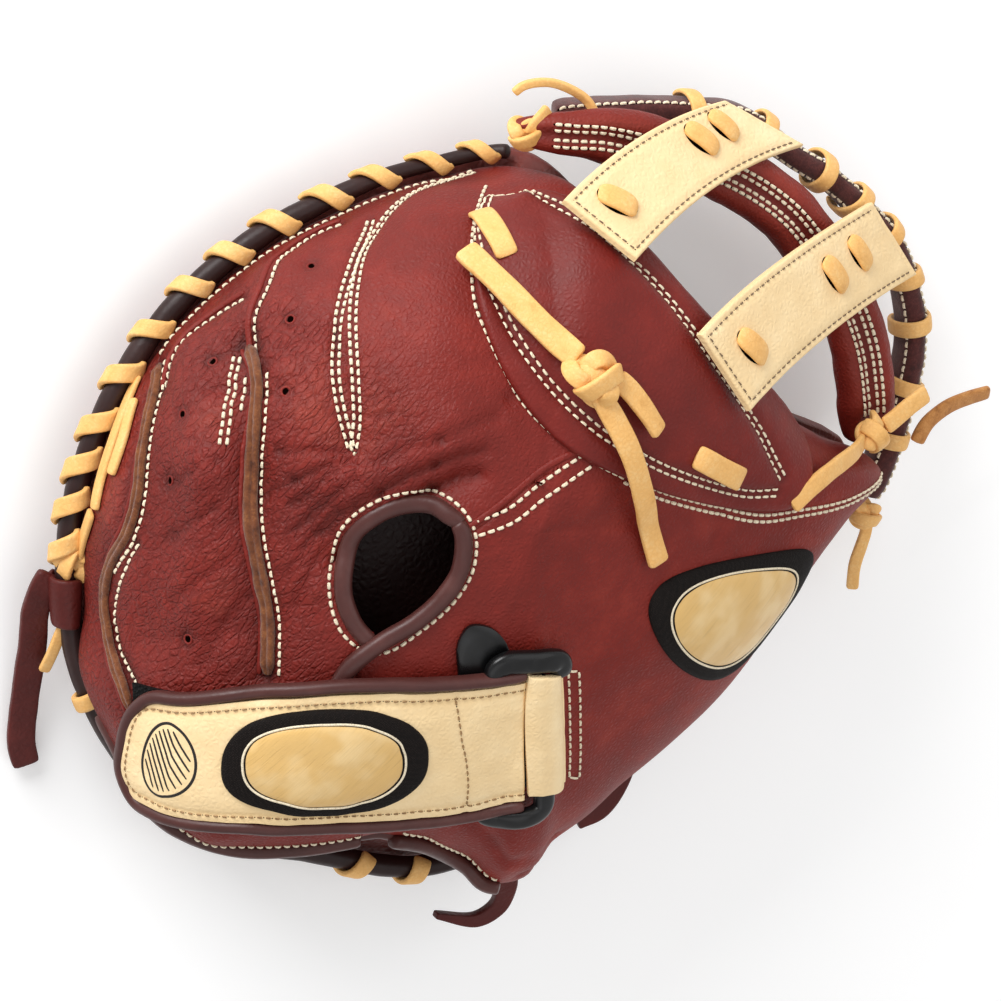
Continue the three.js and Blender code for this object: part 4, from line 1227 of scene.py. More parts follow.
    def cut(self, mesh: Mesh, marks: dict[str, Points]) -> tuple[tuple[Mesh, dict], tuple[Mesh, dict]]:
        """Cuts the hole out and parts the two sides.

        Args:
            mesh: The whole outer face.
            marks: Values stored on its points.

        Returns:
            The finger side and the thumb side, each with its marks.
        """
        hole = Curve(HOLE_LOOP, closed=True).dense(20)[:-1]
        seam = Curve(PANEL_SEAM).dense(20)
        slit = Curve(WRIST_SLIT).dense(20)[::-1]
        fingers = np.vstack([
            [[-175, -112]], slit, [[-35, 35]], seam, [[300, 10], [300, 300], [-300, 300], [-300, -112]]])
        middles = np.array([mesh.points[f].mean(0)[:2] for f in mesh.faces])
        open_face = inside(middles, hole)
        finger_face = inside(middles, fingers)
        edge = np.vstack([hole, hole[:1]])
        sides = []
        for chosen in (finger_face & ~open_face, ~finger_face & ~open_face):
            faces = [f for f, keep in zip(mesh.faces, chosen) if keep]
            used = np.unique(np.concatenate([np.array(f) for f in faces]))
            index = np.full(len(mesh.points), -1)
            index[used] = np.arange(len(used))
            points = mesh.points[used].copy()
            faces = [[int(index[i]) for i in f] for f in faces]
            counts: dict[tuple[int, int], int] = {}
            for f in faces:
                for i, j in zip(f, f[1:] + f[:1]):
                    key = (min(i, j), max(i, j))
                    counts[key] = counts.get(key, 0) + 1
            rim = sorted({i for key, n in counts.items() if n == 1 for i in key})
            for i in rim:
                plan = points[i, :2]
                for line in (edge, seam, slit):
                    a, d = line[:-1], np.diff(line, axis=0)
                    t = np.clip(((plan - a) * d).sum(1) / ((d * d).sum(1) + 1e-9), 0, 1)
                    near = a + t[:, None] * d
                    far = np.linalg.norm(near - plan, axis=1)
                    k = int(np.argmin(far))
                    if far[k] < 1.6:
                        points[i, :2] = near[k]
                        break
            sides.append((Mesh(points, faces), {k: v[used] for k, v in marks.items()}))
        return sides[0], sides[1]

    def build(self) -> Skin:
        """Makes both panels and what is sewn on them.

        Returns:
            The whole back as a surface to lay things on.
        """
        mesh, marks = self.surface()
        skin = mesh.skin()
        finger, thumb = self.cut(mesh, marks)
        Dress("finger_panel", Finish.BACK, Slot.MAROON, ("finger_back",), wall=SHELL_WALL).make(*finger)
        Dress("thumb_panel", Finish.BACK, Slot.MAROON, ("thumb_back",), wall=SHELL_WALL).make(*thumb)
        self.seams(skin)
        self.folds(skin)
        self.holes(skin)
        self.sew(skin)
        return skin

    def seams(self, skin: Skin) -> None:
        """Makes the two raised seams with their raw edges."""
        shape = np.array([
            [-2.5, -0.4], [-2.45, 1.2], [-1.9, 2.3], [-1.1, 2.65], [-0.45, 2.35], [0, 1.85],
            [0.45, 2.3], [1.1, 2.55], [1.9, 2.1], [2.4, 1.1], [2.5, -0.4]])
        for name, rows, wide, tall in (
                ("ring_seam", self.ring_seam, 1.0, 1.0), ("little_seam", self.little_seam, 0.92, 0.85)):
            line = evenly(on_back(rows), 0.9)
            laid, ups = skin.lay(line, BACK.away(line))
            count = len(laid)
            ups = unit(smoothed(ups, 5))
            laid = smoothed(laid, 4)
            wave = lattice_noise(laid, 5, 11)[:, None, None]
            section = shape[None] * np.array([wide, tall]) * (1 + 0.12 * wave)
            ends = np.concatenate([np.linspace(0.35, 1, 5), np.ones(count - 10), np.linspace(1, 0.5, 5)])
            mesh = tube(laid, ups, section * ends[:, None, None])
            rough = lattice_noise(mesh.points, 1.5, 12) * 0.16 + lattice_noise(mesh.points, 3.5, 13) * 0.2
            lift = np.tile(ups[:, None], (1, len(shape), 1)).reshape(-1, 3)
            mesh.points = mesh.points + rough[:, None] * lift
            Dress(name + "_raw", Finish.SUEDE, Slot.SUEDE, (name,), levels=1, sharp=80).make(mesh)
            lip = evenly(laid + 2.6 * unit(np.cross(np.gradient(laid, axis=0), ups)), 1.0)
            low, lip_ups = skin.lay(lip, BACK.away(lip))
            bead = tube(low + 0.1 * lip_ups, lip_ups, tapered(oval(1.9, 1.5, 10), len(low), 0.3, 0.3))
            Dress(name + "_lip", Finish.BACK, Slot.MAROON, levels=1, sharp=80).make(bead)

    def folds(self, skin: Skin) -> None:
        """Makes the turned-under edges where one piece of leather lies on the next."""
        seam = over_plan([[-13.5, 27.5], [-2, 25.2], [9, 23.2], [18, 21], [27, 17.4], [31, 14.5]])
        whole = Mesh()
        for line, step in ((seam, 0.0), (on_back(self.ring_row), -2.6), (on_back(self.little_up), -2.4)):
            line = evenly(line, 1.0)
            way = BACK.away(line)
            if step:
                line = line + step * unit(np.cross(np.gradient(line, axis=0), way))
            laid, ups = skin.lay(line, way)
            laid = smoothed(laid, 3)
            whole.join(tube(laid, ups, tapered(oval(2.3, 1.5, 12), len(laid), 0.2, 0.2)))
        Dress("panel_folds", Finish.BACK, Slot.MAROON, levels=1, sharp=80).make(whole)

    def holes(self, skin: Skin) -> None:
        """Makes the punched lace holes: a near-black disc of painted shade in each, and a raised rim
        round it.
        """
        dark, rims = Mesh(), Mesh()
        turn = circle(16)
        for b, s in self.eyelets:
            spot, ups = skin.lay(BACK.at(b, s)[None], BACK.normal(b, s)[None])
            up = ups[0]
            side = unit(np.cross(up, [0.3, 1.0, 0.2]))
            ahead = np.cross(up, side)
            ring = np.cos(turn)[:, None] * side + np.sin(turn)[:, None] * ahead
            # A near-black disc of painted shade fills the hole.
            disc = np.vstack([spot + 1.35 * ring + 0.12 * up, spot + 1.35 * ring - 0.5 * up])
            faces = grid_faces(2, 16, wrap=True) + [list(range(16)), list(range(31, 15, -1))]
            dark.add(disc, faces)
            rims.join(tube(spot + 1.55 * ring + 0.02 * up, np.tile(up, (16, 1)), oval(0.9, 0.75, 8),
                closed=True))
        Dress("lace_holes", Finish.EYELET, Slot.MAROON).make(dark)
        Dress("lace_hole_rims", Finish.BACK, Slot.MAROON, levels=1, sharp=80).make(rims)

    def sew(self, skin: Skin) -> None:
        """Sews the rows of the back."""
        pale = Sewing("back_stitches", Finish.WHITE_THREAD, Slot.CREAM)
        pale.double(on_back(self.v_left), skin, apart=2.2)
        pale.double(on_back(self.v_right), skin, apart=2.2)
        tip = ((107.2, 0.393), (109.4, 0.366), (108.4, 0.37))
        pale.row(on_back(tip), skin)
        pale.row(on_back(self.ring_row), skin)
        pale.row(on_back(self.little_up), skin)
        pale.row(on_back(self.little_low), skin)
        pale.row(on_back(self.ring_seam[1:]), skin, offset=-3.9)
        pale.row(on_back(self.little_seam[:6]), skin, offset=-3.6)
        pale.double(on_back(((102.8, 0.746), (106.8, 0.705), (110.8, 0.668), (118.8, 0.61))), skin,
            apart=1.9)
        pale.row(on_back(((105.2, 0.684), (108.4, 0.656), (111.6, 0.631))), skin)
        pale.double(over_plan([[-12, 25.5], [-1.5, 20.3], [8.5, 18], [19.5, 15.2], [28, 12.4]]), skin,
            apart=4.6)
        hole = Curve(HOLE_LOOP, closed=True).dense(16)
        ring = outset(hole, 4.1)
        pale.row(BACK.over(ring), skin)
        rim = np.linspace(40, 298, 240)
        rim_line = BACK.at(rim, np.full(240, 0.972))
        for part in (rim_line[rim < 112], rim_line[rim > 240]):
            pale.row(part, skin)
        round_pad = (
            (40.4, 0.869), (47.2, 0.721), (51.6, 0.602), (54.4, 0.5), (54, 0.418), (52.4, 0.348),
            (45.6, 0.241), (34.4, 0.176), (18.8, 0.176), (356.8, 0.196), (338.4, 0.225))
        pale.row(on_back(round_pad), skin)
        below_pad = (
            (338.4, 0.225), (321.6, 0.241), (310, 0.26), (306.8, 0.35), (307.2, 0.446), (307.6, 0.557),
            (308.6, 0.7), (309.2, 0.815))
        pale.double(on_back(below_pad), skin, apart=2.3)
        pale.make()


def smoothed(values: Points, reach: int) -> Points:
    """Averages each row of values with its neighbours, both ends kept."""
    n = len(values)
    out = np.zeros_like(values)
    for k in range(n):
        r = min(reach, k, n - 1 - k)
        out[k] = values[k - r:k + r + 1].mean(0)
    return out


def outset(loop: Points, by: float) -> Points:
    """A closed plan line moved outward, its first point repeated at the end."""
    line = loop[:-1] if np.allclose(loop[0], loop[-1]) else loop
    ahead = np.roll(line, -1, 0) - np.roll(line, 1, 0)
    area = (line[:, 0] * np.roll(line[:, 1], -1) - np.roll(line[:, 0], -1) * line[:, 1]).sum()
    out = unit(np.stack([ahead[:, 1], -ahead[:, 0]], 1)) * (1 if area > 0 else -1)
    moved = line + by * out
    return np.vstack([moved, moved[:1]])


@dataclass
class Bindings:
    """Rolled dark leather over the cut edges of the hole and the wrist."""

    width: float = 5.9
    height: float = 5.4
    finger_rows: Rows = (
        (-13.4, 29.4), (-14.2, 33.6), (-15.6, 39.8), (-25.2, 48.1), (-38.1, 50.2), (-48.6, 44.7),
        (-55.5, 38), (-59.2, 31), (-60.2, 25.6), (-60.2, 21.2))
    thumb_rows: Rows = (
        (-14.2, 31.2), (-15, 28.2), (-18, 24.4), (-24.2, 19.8), (-33.8, 17.3), (-46.5, 18), (-58, 21.2),
        (-70, 22.3), (-80, 19.5))
    thumb_flap: Rows = (
        (207.2, 0.985), (213.6, 0.99), (219.6, 0.955), (223.2, 0.895), (225.4, 0.84), (227, 0.79))
    finger_flap: Rows = ((170, 0.93), (174, 0.975), (179, 0.985), (186, 0.98), (194, 0.98), (202, 0.985))

    def round_edge(self, line: Points, ups: Points, width: float, height: float) -> Mesh:
        """A rolled binding along a line, with the slight unevenness of a hand-turned edge."""
        wave = 1 + 0.03 * lattice_noise(line, 7, 21) + 0.02 * lattice_noise(line, 2.5, 22)
        section = tapered(oval(width, height, 18, 2.3), len(line), 0.55, 0.55) * wave[:, None, None]
        return tube(line, ups, section)

    def hole(self) -> None:
        """Makes the two lengths round the finger hole. The thumb side's length lies on top."""
        for name, rows, lifts in (
            ("hole_binding_finger", self.finger_rows, (-0.4, -0.5)),
            ("hole_binding_thumb", self.thumb_rows, (0.1, 1.0)),
        ):
            plan = Curve(rows).even(1.1)
            lift = np.linspace(lifts[0], lifts[1], len(plan))
            if name == "hole_binding_thumb":
                lift = lift + 1.3 * np.exp(-((np.linspace(0, 1, len(plan)) - 0.78) / 0.16) ** 2)
            line = BACK.over(plan, lift)
            mesh = self.round_edge(line, BACK.away(line), self.width, self.height)
            Dress(name + "_roll", Finish.BINDING, Slot.BINDING, (name,), levels=1, sharp=80).make(mesh)

    def wrist(self) -> None:
        """Makes the two lengths along the wrist opening."""
        for name, low, high in (("wrist_binding_finger", 165.5, 202.5),
            ("wrist_binding_thumb", 202, 230)):
            bearing = np.linspace(low, high, 90)
            edge = BACK.at(bearing, np.ones(90), -SHELL_WALL / 2)
            way = unit(edge - BACK.at(bearing, np.full(90, 0.97), -SHELL_WALL / 2))
            line = evenly(edge + 1.9 * way, 1.1)
            mesh = self.round_edge(line, upright(line), 5.6, 6.2)
            Dress(name + "_roll", Finish.BINDING, Slot.BINDING, (name,), levels=1, sharp=80).make(mesh)

    def flaps(self) -> None:
        """Makes the rolled edges that turn up over the two flaps of the wrist."""
        whole = Mesh()
        for rows, lift in ((self.thumb_flap, 2.0), (self.finger_flap, 0.9)):
            line = evenly(on_back(rows, lift), 1.1)
            whole.join(self.round_edge(line, BACK.away(line), 6.2, 5.2))
        Dress("wrist_flap_rolls", Finish.BINDING, Slot.BINDING, levels=1, sharp=80).make(whole)

    def sew(self, skin: Skin) -> None:
        """Sews the row beside the wrist bindings."""
        pale = Sewing("wrist_stitches", Finish.WHITE_THREAD, Slot.CREAM)
        pale.row(on_back(self.finger_flap), skin, offset=-4.3)
        pale.row(on_back(self.thumb_flap), skin, offset=-4.6)
        pale.make()

    def build(self, skin: Skin) -> None:
        """Makes every binding of the back."""
        self.hole()
        self.wrist()
        self.flaps()
        self.sew(skin)


@dataclass
class PalmPad:
    """The padded palm under the hand, from its top over the rim into the ball pocket."""

    bearings: int = 120
    fill: float = 0.95

    def build(self) -> None:
        """Makes the pad."""
        b = 360 * np.arange(self.bearings) / self.bearings
        reach = BACK.rows(b)[:, 0]
        top, foot, lip = BACK.palm(b).T
        rings: list[Points] = []
        for t in (0.12, 0.24, 0.36, 0.48, 0.6, 0.7, 0.8, 0.88, 0.95, 1.0):
            far = bezier(0, 0.6 * reach, 0.93 * reach, reach - 3, t)
            rings.append(BACK.on_bearing(b, far,
                bezier(PAD_CROWN, PAD_CROWN, top + 0.45 * (PAD_CROWN - top), top, t)))
        for out, up in ((0.43, 0.93), (0.8, 0.78), (1.0, 0.6), (1.08, 0.42), (1.05, 0.26), (0.9, 0.12),
            (0.6, 0.03), (0.2, 0)):
            tuck = PALM_TUCK * np.maximum(0, 1 - foot / 17) * (1 - up) ** 1.5
            rings.append(BACK.on_bearing(b, reach + lip * out - tuck, foot + (top - foot) * up))
        for back, up in ((3, 0), (8, 0), (13, 0), (18, 0), (24, 1.2)):
            rings.append(BACK.on_bearing(b, reach - back, foot + up))
        for t in (0.07, 0.14, 0.22, 0.3, 0.38, 0.46, 0.54, 0.62, 0.71, 0.8, 0.9):
            far = bezier(reach - 24, reach - 34, 0.5 * reach, 0, t)
            high = bezier(foot + 1.2, foot + 0.4 * (POCKET_CROWN - foot), POCKET_CROWN, POCKET_CROWN, t)
            rings.append(BACK.on_bearing(b, far, high))
        points = np.vstack([BACK.on_bearing(0, 0, PAD_CROWN)[None], *rings,
            BACK.on_bearing(0, 0, POCKET_CROWN)[None]])
        n, m = self.bearings, len(rings)
        faces = grid_faces(m, n, 1, wrap=True)
        faces += [[0, 1 + (k + 1) % n, 1 + k] for k in range(n)]
        faces += [[len(points) - 1, 1 + (m - 1) * n + k, 1 + (m - 1) * n + (k + 1) % n] for k in range(n)]
        soft = lattice_noise(points, 17, 31) * 0.7 + lattice_noise(points, 6, 32) * 0.25
        from_crown = np.linalg.norm(points[:, :2] - CROWN, axis=1)
        inner = smooth_step(from_crown, 4, 12) * smooth_step(points[:, 2], 1, 8)
        away = unit(points - np.array([0, 10, 45.0]))
        points = points + (soft * inner)[:, None] * away
        # Painted shade: the pad's top, seen through the finger hole, is mixed toward near black higher
        # up; lower down it is a little lighter.
        hole_shade_mask = smooth_step(points[:, 2], 30, 55)
        pad = Dress("palm_padding", Finish.PALM, Slot.PALM, ("palm_pad",), levels=1, sharp=80).make(
            Mesh(points, faces), {"wear_and_highlight": (1 - hole_shade_mask) * 0.15, "painted_shade": hole_shade_mask})
        skin = Mesh(points, faces).skin()
        pale = Sewing("palm_stitches", Finish.WHITE_THREAD, Slot.CREAM, 3.0, 1.0)
        ring_b = np.linspace(0, 360, 361)
        reach = BACK.rows(ring_b)[:, 0]
        top, foot, _ = BACK.palm(ring_b).T
        line = BACK.on_bearing(ring_b, bezier(reach - 24, reach - 34, 0.5 * reach, 0, 0.1), bezier(
            foot + 1.2, foot + 0.4 * (POCKET_CROWN - foot), POCKET_CROWN, POCKET_CROWN, 0.1))
        pale.double(line, skin, np.tile([0.0, 0, -1], (361, 1)))
        pale.make()


@dataclass
class CrotchPad:
    """The almond pad sewn between thumb and fingers, its free edge rolled over."""

    floor: float = 0.5
    inner_rows: Rows = (
        (68, 71.5), (57, 73), (42, 66.5), (32, 53), (27, 38.5), (26, 20), (31, -1), (40, -28), (50, -50),
        (60, -66))
    free_rows: Rows = (
        (77.5, 64), (84, 58.5), (88.5, 49), (89, 32), (87, 10), (86, -8), (84, -28), (84, -44),
        (81, -58), (71, -70))
    upper_row: Rows = (
        (62, 72), (75, 68.5), (79.5, 59.5), (81.2, 47), (80.6, 32.6), (79.4, 17.9), (76, -0.7),
        (72.8, -20.2), (69.2, -37.7), (65.5, -54))
    lower_row: Rows = (
        (66, 73.5), (58, 73.5), (49, 67.5), (42, 56), (38, 43), (36.4, 29.5), (36, 19), (37.4, 8.4),
        (40.7, -7.1), (45.4, -22), (50.1, -35), (54.5, -45.5), (61.5, -56))
    fill: float = 0.7

    def build(self) -> Skin:
        """Makes the pad and sews it.

        Returns:
            Its outer face, to lay laces on.
        """
        u, v = clustered(120), clustered(64)
        inner = Curve(self.inner_rows).at(u)
        free = Curve(self.free_rows).at(u)
        plan = inner[:, None] * (1 - v)[None, :, None] + free[:, None] * v[None, :, None]
        flat = plan.reshape(-1, 2)
        wide = np.linalg.norm(free - inner, axis=1)
        run = np.append(0, np.cumsum(np.linalg.norm(np.diff((inner + free) / 2, axis=0), axis=1)))
        to_inner = (v[None] * wide[:, None]).ravel()
        to_free = ((1 - v)[None] * wide[:, None]).ravel()
        to_end = np.minimum(run, run[-1] - run)[:, None].repeat(len(v), 1).ravel()
        full = 1.4 + 4 * (np.sin(np.pi * np.minimum(1, v * 0.75 + 0.04)) ** 0.8)[None] * (
            np.sin(np.pi * (0.04 + 0.92 * u)) ** 0.5)[:, None]
        high = full.ravel() * 1.02
        base = BACK.over(flat)
        for rows, deep in ((self.upper_row, 1.5), (self.lower_row, 1.3)):
            near = distance_to_line(base, over_plan(rows))
            high -= deep * np.exp(-((near / 2.2) ** 2)) * np.minimum(1, high / 3)
        high += 0.35 * lattice_noise(base, 12, 41) + 0.14 * lattice_noise(base, 4, 42)
        shape = edge_round(to_inner, 1.6) * edge_round(to_free, 4.0) * edge_round(to_end, 3.0)
        high = 0.25 + (high - 0.25) * shape
        bearing, share = BACK.polar(flat)
        top = BACK.at(bearing, share, self.floor + high).reshape(plan.shape[:2] + (3,))
        bottom = BACK.at(bearing, share, self.floor).reshape(top.shape)
        mesh = slab(top, bottom)
        # Painted shade along the two sewn rows.
        shade_mask = np.zeros(len(mesh.points))
        for rows in (self.upper_row, self.lower_row):
            near = distance_to_line(mesh.points, over_plan(rows, 4.0))
            shade_mask = np.maximum(shade_mask, 0.6 * np.exp(-((near / 2.6) ** 2)))
        pad = Dress("crotch_padding", Finish.PAD, Slot.PAD, ("crotch_pad",), sharp=70).make(mesh,
            {"painted_shade": shade_mask})
        skin = Mesh(top.reshape(-1, 3), grid_faces(*top.shape[:2])).skin()
        pale = Sewing("pad_stitches", Finish.WHITE_THREAD, Slot.CREAM, 2.5, 0.8, 0.9)
        pale.double(over_plan(self.upper_row, 4.0), skin, apart=2.5)
        pale.double(over_plan(self.lower_row, 3.0), skin, apart=2.5)
        pale.make()
        return skin


@dataclass
class Web:
    """The padded inner roll, the laced outer band and the two straps between them and the pad."""

    roll_rows: Rows = (
        (90.5, 77.5, 43), (96.5, 71, 46.8), (102, 64.5, 48.8), (109, 56, 50), (119, 37, 50.5),
        (129, 13, 50), (133, -10, 50), (131.5, -28, 50), (127.5, -48, 49.5), (120.5, -66, 48.5),
        (110.5, -82, 47), (103.5, -91, 44.5), (98, -96.5, 42))
    band_rows: Rows = (
        (104.5, 66, 32), (108.5, 62, 33), (113.5, 57, 33.5), (123, 47, 34), (136, 31.5, 35),
        (145.5, 18, 35), (149.5, -6, 35), (152.5, -20, 35), (153.5, -37, 35), (152.5, -57, 34),
        (145, -77, 32), (136, -90, 31), (124, -100.5, 30), (113, -108, 29), (101, -115, 28),
        (93.5, -119, 27), (86.5, -122.5, 26))
    upper_strap: tuple[Rows, Rows] = (
        ((81.6, 67.2, 84), (95.1, 62.1, 75), (108.5, 55.7, 67), (121.3, 48.9, 60.5), (132.9, 40.5, 54),
         (143.7, 30.3, 46.5)),
        ((83.2, 40.5, 96), (97, 34.6, 85), (110.7, 28, 75), (124.3, 20.5, 66), (137.9, 10.8, 57),
            (152, -2, 46.5)))
    lower_strap: tuple[Rows, Rows] = (
        ((79.8, 10, 102), (94.7, 4.3, 92.5), (109.3, -3.3, 82.5), (124.4, -12.4, 71.5),
            (139.5, -22.7, 60),
         (154.8, -34.5, 47)),
        ((73.4, -21.3, 103), (88.1, -27.3, 93), (103.2, -34.7, 82.5), (118.5, -43.5, 71.5),
            (133.6, -53.9, 60),
         (148.6, -65.8, 47)))
    strap_thick: float = 2.3

    def roll(self) -> None:
        """Makes the inner roll with a cord in each edge and four rows between them."""
        line = Curve(self.roll_rows).even(1.3)
        up = upright(line)
        a = circle(36)
        x, y = 10.3 * np.cos(a), 7.5 * np.sin(a)
        neck = np.exp(-((x / 3.6) ** 2))
        lobe = np.exp(-(((np.abs(x) - 6.4) / 2.6) ** 2))
        y = np.sign(y) * (np.abs(y) * (1 - 0.34 * neck) + 0.35 * lobe * np.minimum(1, np.abs(y) / 3))
        far = np.append(0, np.cumsum(np.linalg.norm(np.diff(line, axis=0), axis=1)))
        grow = 0.56 + 0.44 * smooth_step(far, 0, 46)
        section = tapered(np.stack([x, y], 1), len(line), 0.3, 0.3, 12) * grow[:, None, None]
        mesh = tube(line, up, section)
        soft = 0.35 * lattice_noise(mesh.points, 8, 51) + 0.16 * lattice_noise(mesh.points, 3, 52)
        middle = np.repeat(line, 36, axis=0)
        mesh.points = mesh.points + soft[:, None] * unit(mesh.points - middle)
        # Painted shade in the neck between the two lobes, and wear with painted highlight on the lobes.
        shade_mask = np.tile(0.6 * neck, len(line))
        piece = Dress("web_roll", Finish.BACK, Slot.MAROON, ("web_inner_roll",), levels=1, sharp=80).make(
            mesh, {"painted_shade": shade_mask, "wear_and_highlight": np.tile(0.3 * lobe, len(line))})
        skin = mesh.skin()
        pale = Sewing("roll_stitches", Finish.WHITE_THREAD, Slot.CREAM)
        inner = line[9:-9]
        for offset in (-3.6, -1.6, 1.6, 3.6):
            pale.row(inner + [0, 0, 3], skin, up[9:-9], offset)
        pale.make()

    def band(self) -> None:
        """Makes the outer band with a row of stitches along each side."""
        line = Curve(self.band_rows).even(1.4)
        up = upright(line)
        section = tapered(oval(8.4, 14.4, 24, 2.9), len(line), 0.5, 0.5, 5)
        mesh = tube(line, up, section)
        outward = unit(mesh.points - np.repeat(line, 24, axis=0))
        mesh.points = mesh.points + 0.3 * lattice_noise(mesh.points, 6, 53)[:, None] * outward
        Dress("web_band", Finish.BAND, Slot.PAD, ("web_outer_band",), levels=1, sharp=80).make(mesh)
        skin = mesh.skin()
        pale = Sewing("band_stitches", Finish.WHITE_THREAD, Slot.CREAM)
        side = unit(np.cross(np.gradient(line, axis=0), up))
        pale.row(line + [0, 0, 4], skin, unit(-side * 0.9 + up * 0.45))
        pale.row(line + [0, 0, 4], skin, unit(side * 0.9 + up * 0.3))
        pale.make()

    def loops(self) -> None:
        """Makes the lace turns over the outer band."""
        line = Curve(self.band_rows).even(1.0)
        along = unit(np.gradient(line, axis=0))
        whole = Mesh()
        shares = (0.2, 0.31, 0.43, 0.5, 0.58, 0.655, 0.73, 0.83, 0.91)
        for n, share in enumerate(shares):
            k = int(share * (len(line) - 1))
            up = np.array([0.0, 0, 1])
            side = unit(np.cross(along[k], up))
            a = np.radians(np.linspace(-70, 250, 26) + (12 if n % 2 else -8))
            x, z = 5.4 * np.cos(a), 8.2 * np.sin(a)
            slip = np.linspace(-2.2, 2.2, 26) * (1 if n % 2 else -0.6)
            path = line[k] + x[:, None] * side + z[:, None] * up + slip[:, None] * along[k]
            ups = unit(np.cos(a)[:, None] / 5.4 * side + np.sin(a)[:, None] / 8.2 * up)
            whole.join(tube(path, ups, tapered(strip(5.6, 1.6), 26, 0.8, 0.8)))
        lace_piece("web_lace_turns", whole)

    def strap(self, name: str, node: str, edges: tuple[Rows, Rows], ovals: Rows) -> None:
        """Makes one strap, its stitching and the lace turns through it."""
        u, v = clustered(90), clustered(26)
        fit = []
        for rows in edges:
            p = Curve(rows).at(u)
            fit.append(np.stack([np.polyval(np.polyfit(u, p[:, k], 3), u) for k in range(3)], 1))
        a, b = fit
        low = a[:, None] * (1 - v)[None, :, None] + b[:, None] * v[None, :, None]
        up = unit(np.cross(np.gradient(low, axis=0), np.gradient(low, axis=1)))
        if up[..., 2].mean() < 0:
            up = -up
        wide = np.linalg.norm(b - a, axis=1)
        run = np.append(0, np.cumsum(np.linalg.norm(np.diff((a + b) / 2, axis=0), axis=1)))
        to_side = np.minimum(v, 1 - v)[None] * wide[:, None]
        to_end = np.minimum(run, run[-1] - run)[:, None]
        swell = 0.35 * np.minimum(1, to_side / 4) * np.minimum(1, to_end / 4)
        sewn = np.exp(-(((np.minimum(to_side, to_end) - 2.4) / 0.9) ** 2))
        rough = lattice_noise(low.reshape(-1, 3), 5, 61).reshape(to_side.shape)
        high = self.strap_thick * (0.72 + 0.28 * edge_round(to_side, 0.9) * edge_round(to_end, 0.9))
        high = high + swell - 0.4 * sewn + 0.16 * rough
        top = low + up * high[..., None]
        mesh = slab(top, low)
        # Painted shade along the strap's edges and over its underside.
        edge = np.append((np.minimum(to_side, to_end) < 0.35).ravel() * 0.5, np.full(low.size // 3, 0.25))
        Dress(name, Finish.CREAM, Slot.CREAM, (node,), sharp=55).make(mesh, {"painted_shade": edge})
        skin = Mesh(top.reshape(-1, 3), grid_faces(*top.shape[:2])).skin()
        dark = Sewing(name + "_stitches", Finish.DARK_THREAD, Slot.CREAM, 1.7, 1.3, 0.55)

        def spot(s: Points, t: Points) -> Points:
            """Points of the strap's top at shares along and across."""
            i = np.interp(s, u, np.arange(len(u)))
            j = np.interp(t, v, np.arange(len(v)))
            i0, j0 = np.minimum(i.astype(int), len(u) - 2), np.minimum(j.astype(int), len(v) - 2)
            fi, fj = (i - i0)[:, None], (j - j0)[:, None]
            return (top[i0, j0] * (1 - fi) * (1 - fj) + top[i0 + 1, j0] * fi * (1 - fj)
                    + top[i0, j0 + 1] * (1 - fi) * fj + top[i0 + 1, j0 + 1] * fi * fj)

        inset_u, inset_v = 2.4 / run[-1], 2.4 / wide.mean()
        way = unit(up.reshape(-1, 3).mean(0))
        s = np.concatenate([np.linspace(0.97, inset_u, 80), np.full(20, inset_u),
            np.linspace(inset_u, 0.97, 80)])
        t = np.concatenate([np.full(80, inset_v), np.linspace(inset_v, 1 - inset_v, 20),
            np.full(80, 1 - inset_v)])
        for part in (slice(0, 80), slice(80, 100), slice(100, 180)):
            line = spot(s[part], t[part])
            dark.row(line, skin, np.tile(way, (len(line), 1)))
        dark.make()
        turns, slot_shades = Mesh(), Mesh()
        for s0, t0, turn, long, across in ovals:
            c = spot(np.array([s0]), np.array([t0]))[0]
            ahead = unit(spot(np.array([s0 + 0.02]), np.array([t0]))[0] - c)
            side = unit(np.cross(way, ahead))
            a = math.radians(turn)
            run_way = math.cos(a) * side + math.sin(a) * ahead
            cross_way = np.cross(way, run_way)
            k = np.linspace(-1, 1, 21)
            laid, ups = skin.lay(c + run_way * (k * long / 2)[:, None], np.tile(way, (21, 1)))
            path = laid + way * (1.5 * np.sqrt(1 - 0.98 * k**2) - 0.9)[:, None]
            shape = np.stack([0.36 + 0.64 * np.sqrt(1 - 0.97 * k**4), 1 - 0.15 * k**6], 1)
            turns.join(tube(path, np.tile(way, (21, 1)), strip(across, 1.7)[None] * shape[:, None, :]))
            # A near-black oval of painted shade round each lace turn, where it passes through the strap.
            round_way = circle(28)
            rings = []
            for grow in (0.5, 1.0):
                x = np.cos(round_way) * grow * (long / 2 + 0.9)
                y = np.sin(round_way) * grow * (across / 2 + 0.35)
                laid, ups = skin.lay(c + x[:, None] * run_way + y[:, None] * cross_way,
                    np.tile(way, (28, 1)))
                rings.append(laid + 0.1 * way)
            points = np.vstack(rings + [rings[1] - 0.5 * way])
            slot_shades.add(points, grid_faces(3, 28, wrap=True) + [list(range(28)), list(range(83, 55, -1))])
        Dress(name + "_slots", Finish.EYELET, Slot.CREAM).make(slot_shades)
        lace_piece(name + "_lace", turns)

    def build(self) -> None:
        """Makes the whole web."""
        self.roll()
        self.band()
        self.loops()
        self.strap("upper_strap", "web_strap_upper", self.upper_strap,
                   ((0.15, 0.42, -26, 13, 8.2), (0.68, 0.40, -30, 12.5, 7.4),
                    (0.82, 0.36, -30, 11.5, 6.6)))
        self.strap("lower_strap", "web_strap_lower", self.lower_strap,
                   ((0.16, 0.5, -24, 13.5, 8.2), (0.66, 0.47, -22, 12.8, 7.6),
                    (0.81, 0.42, -22, 12.2, 7.0)))


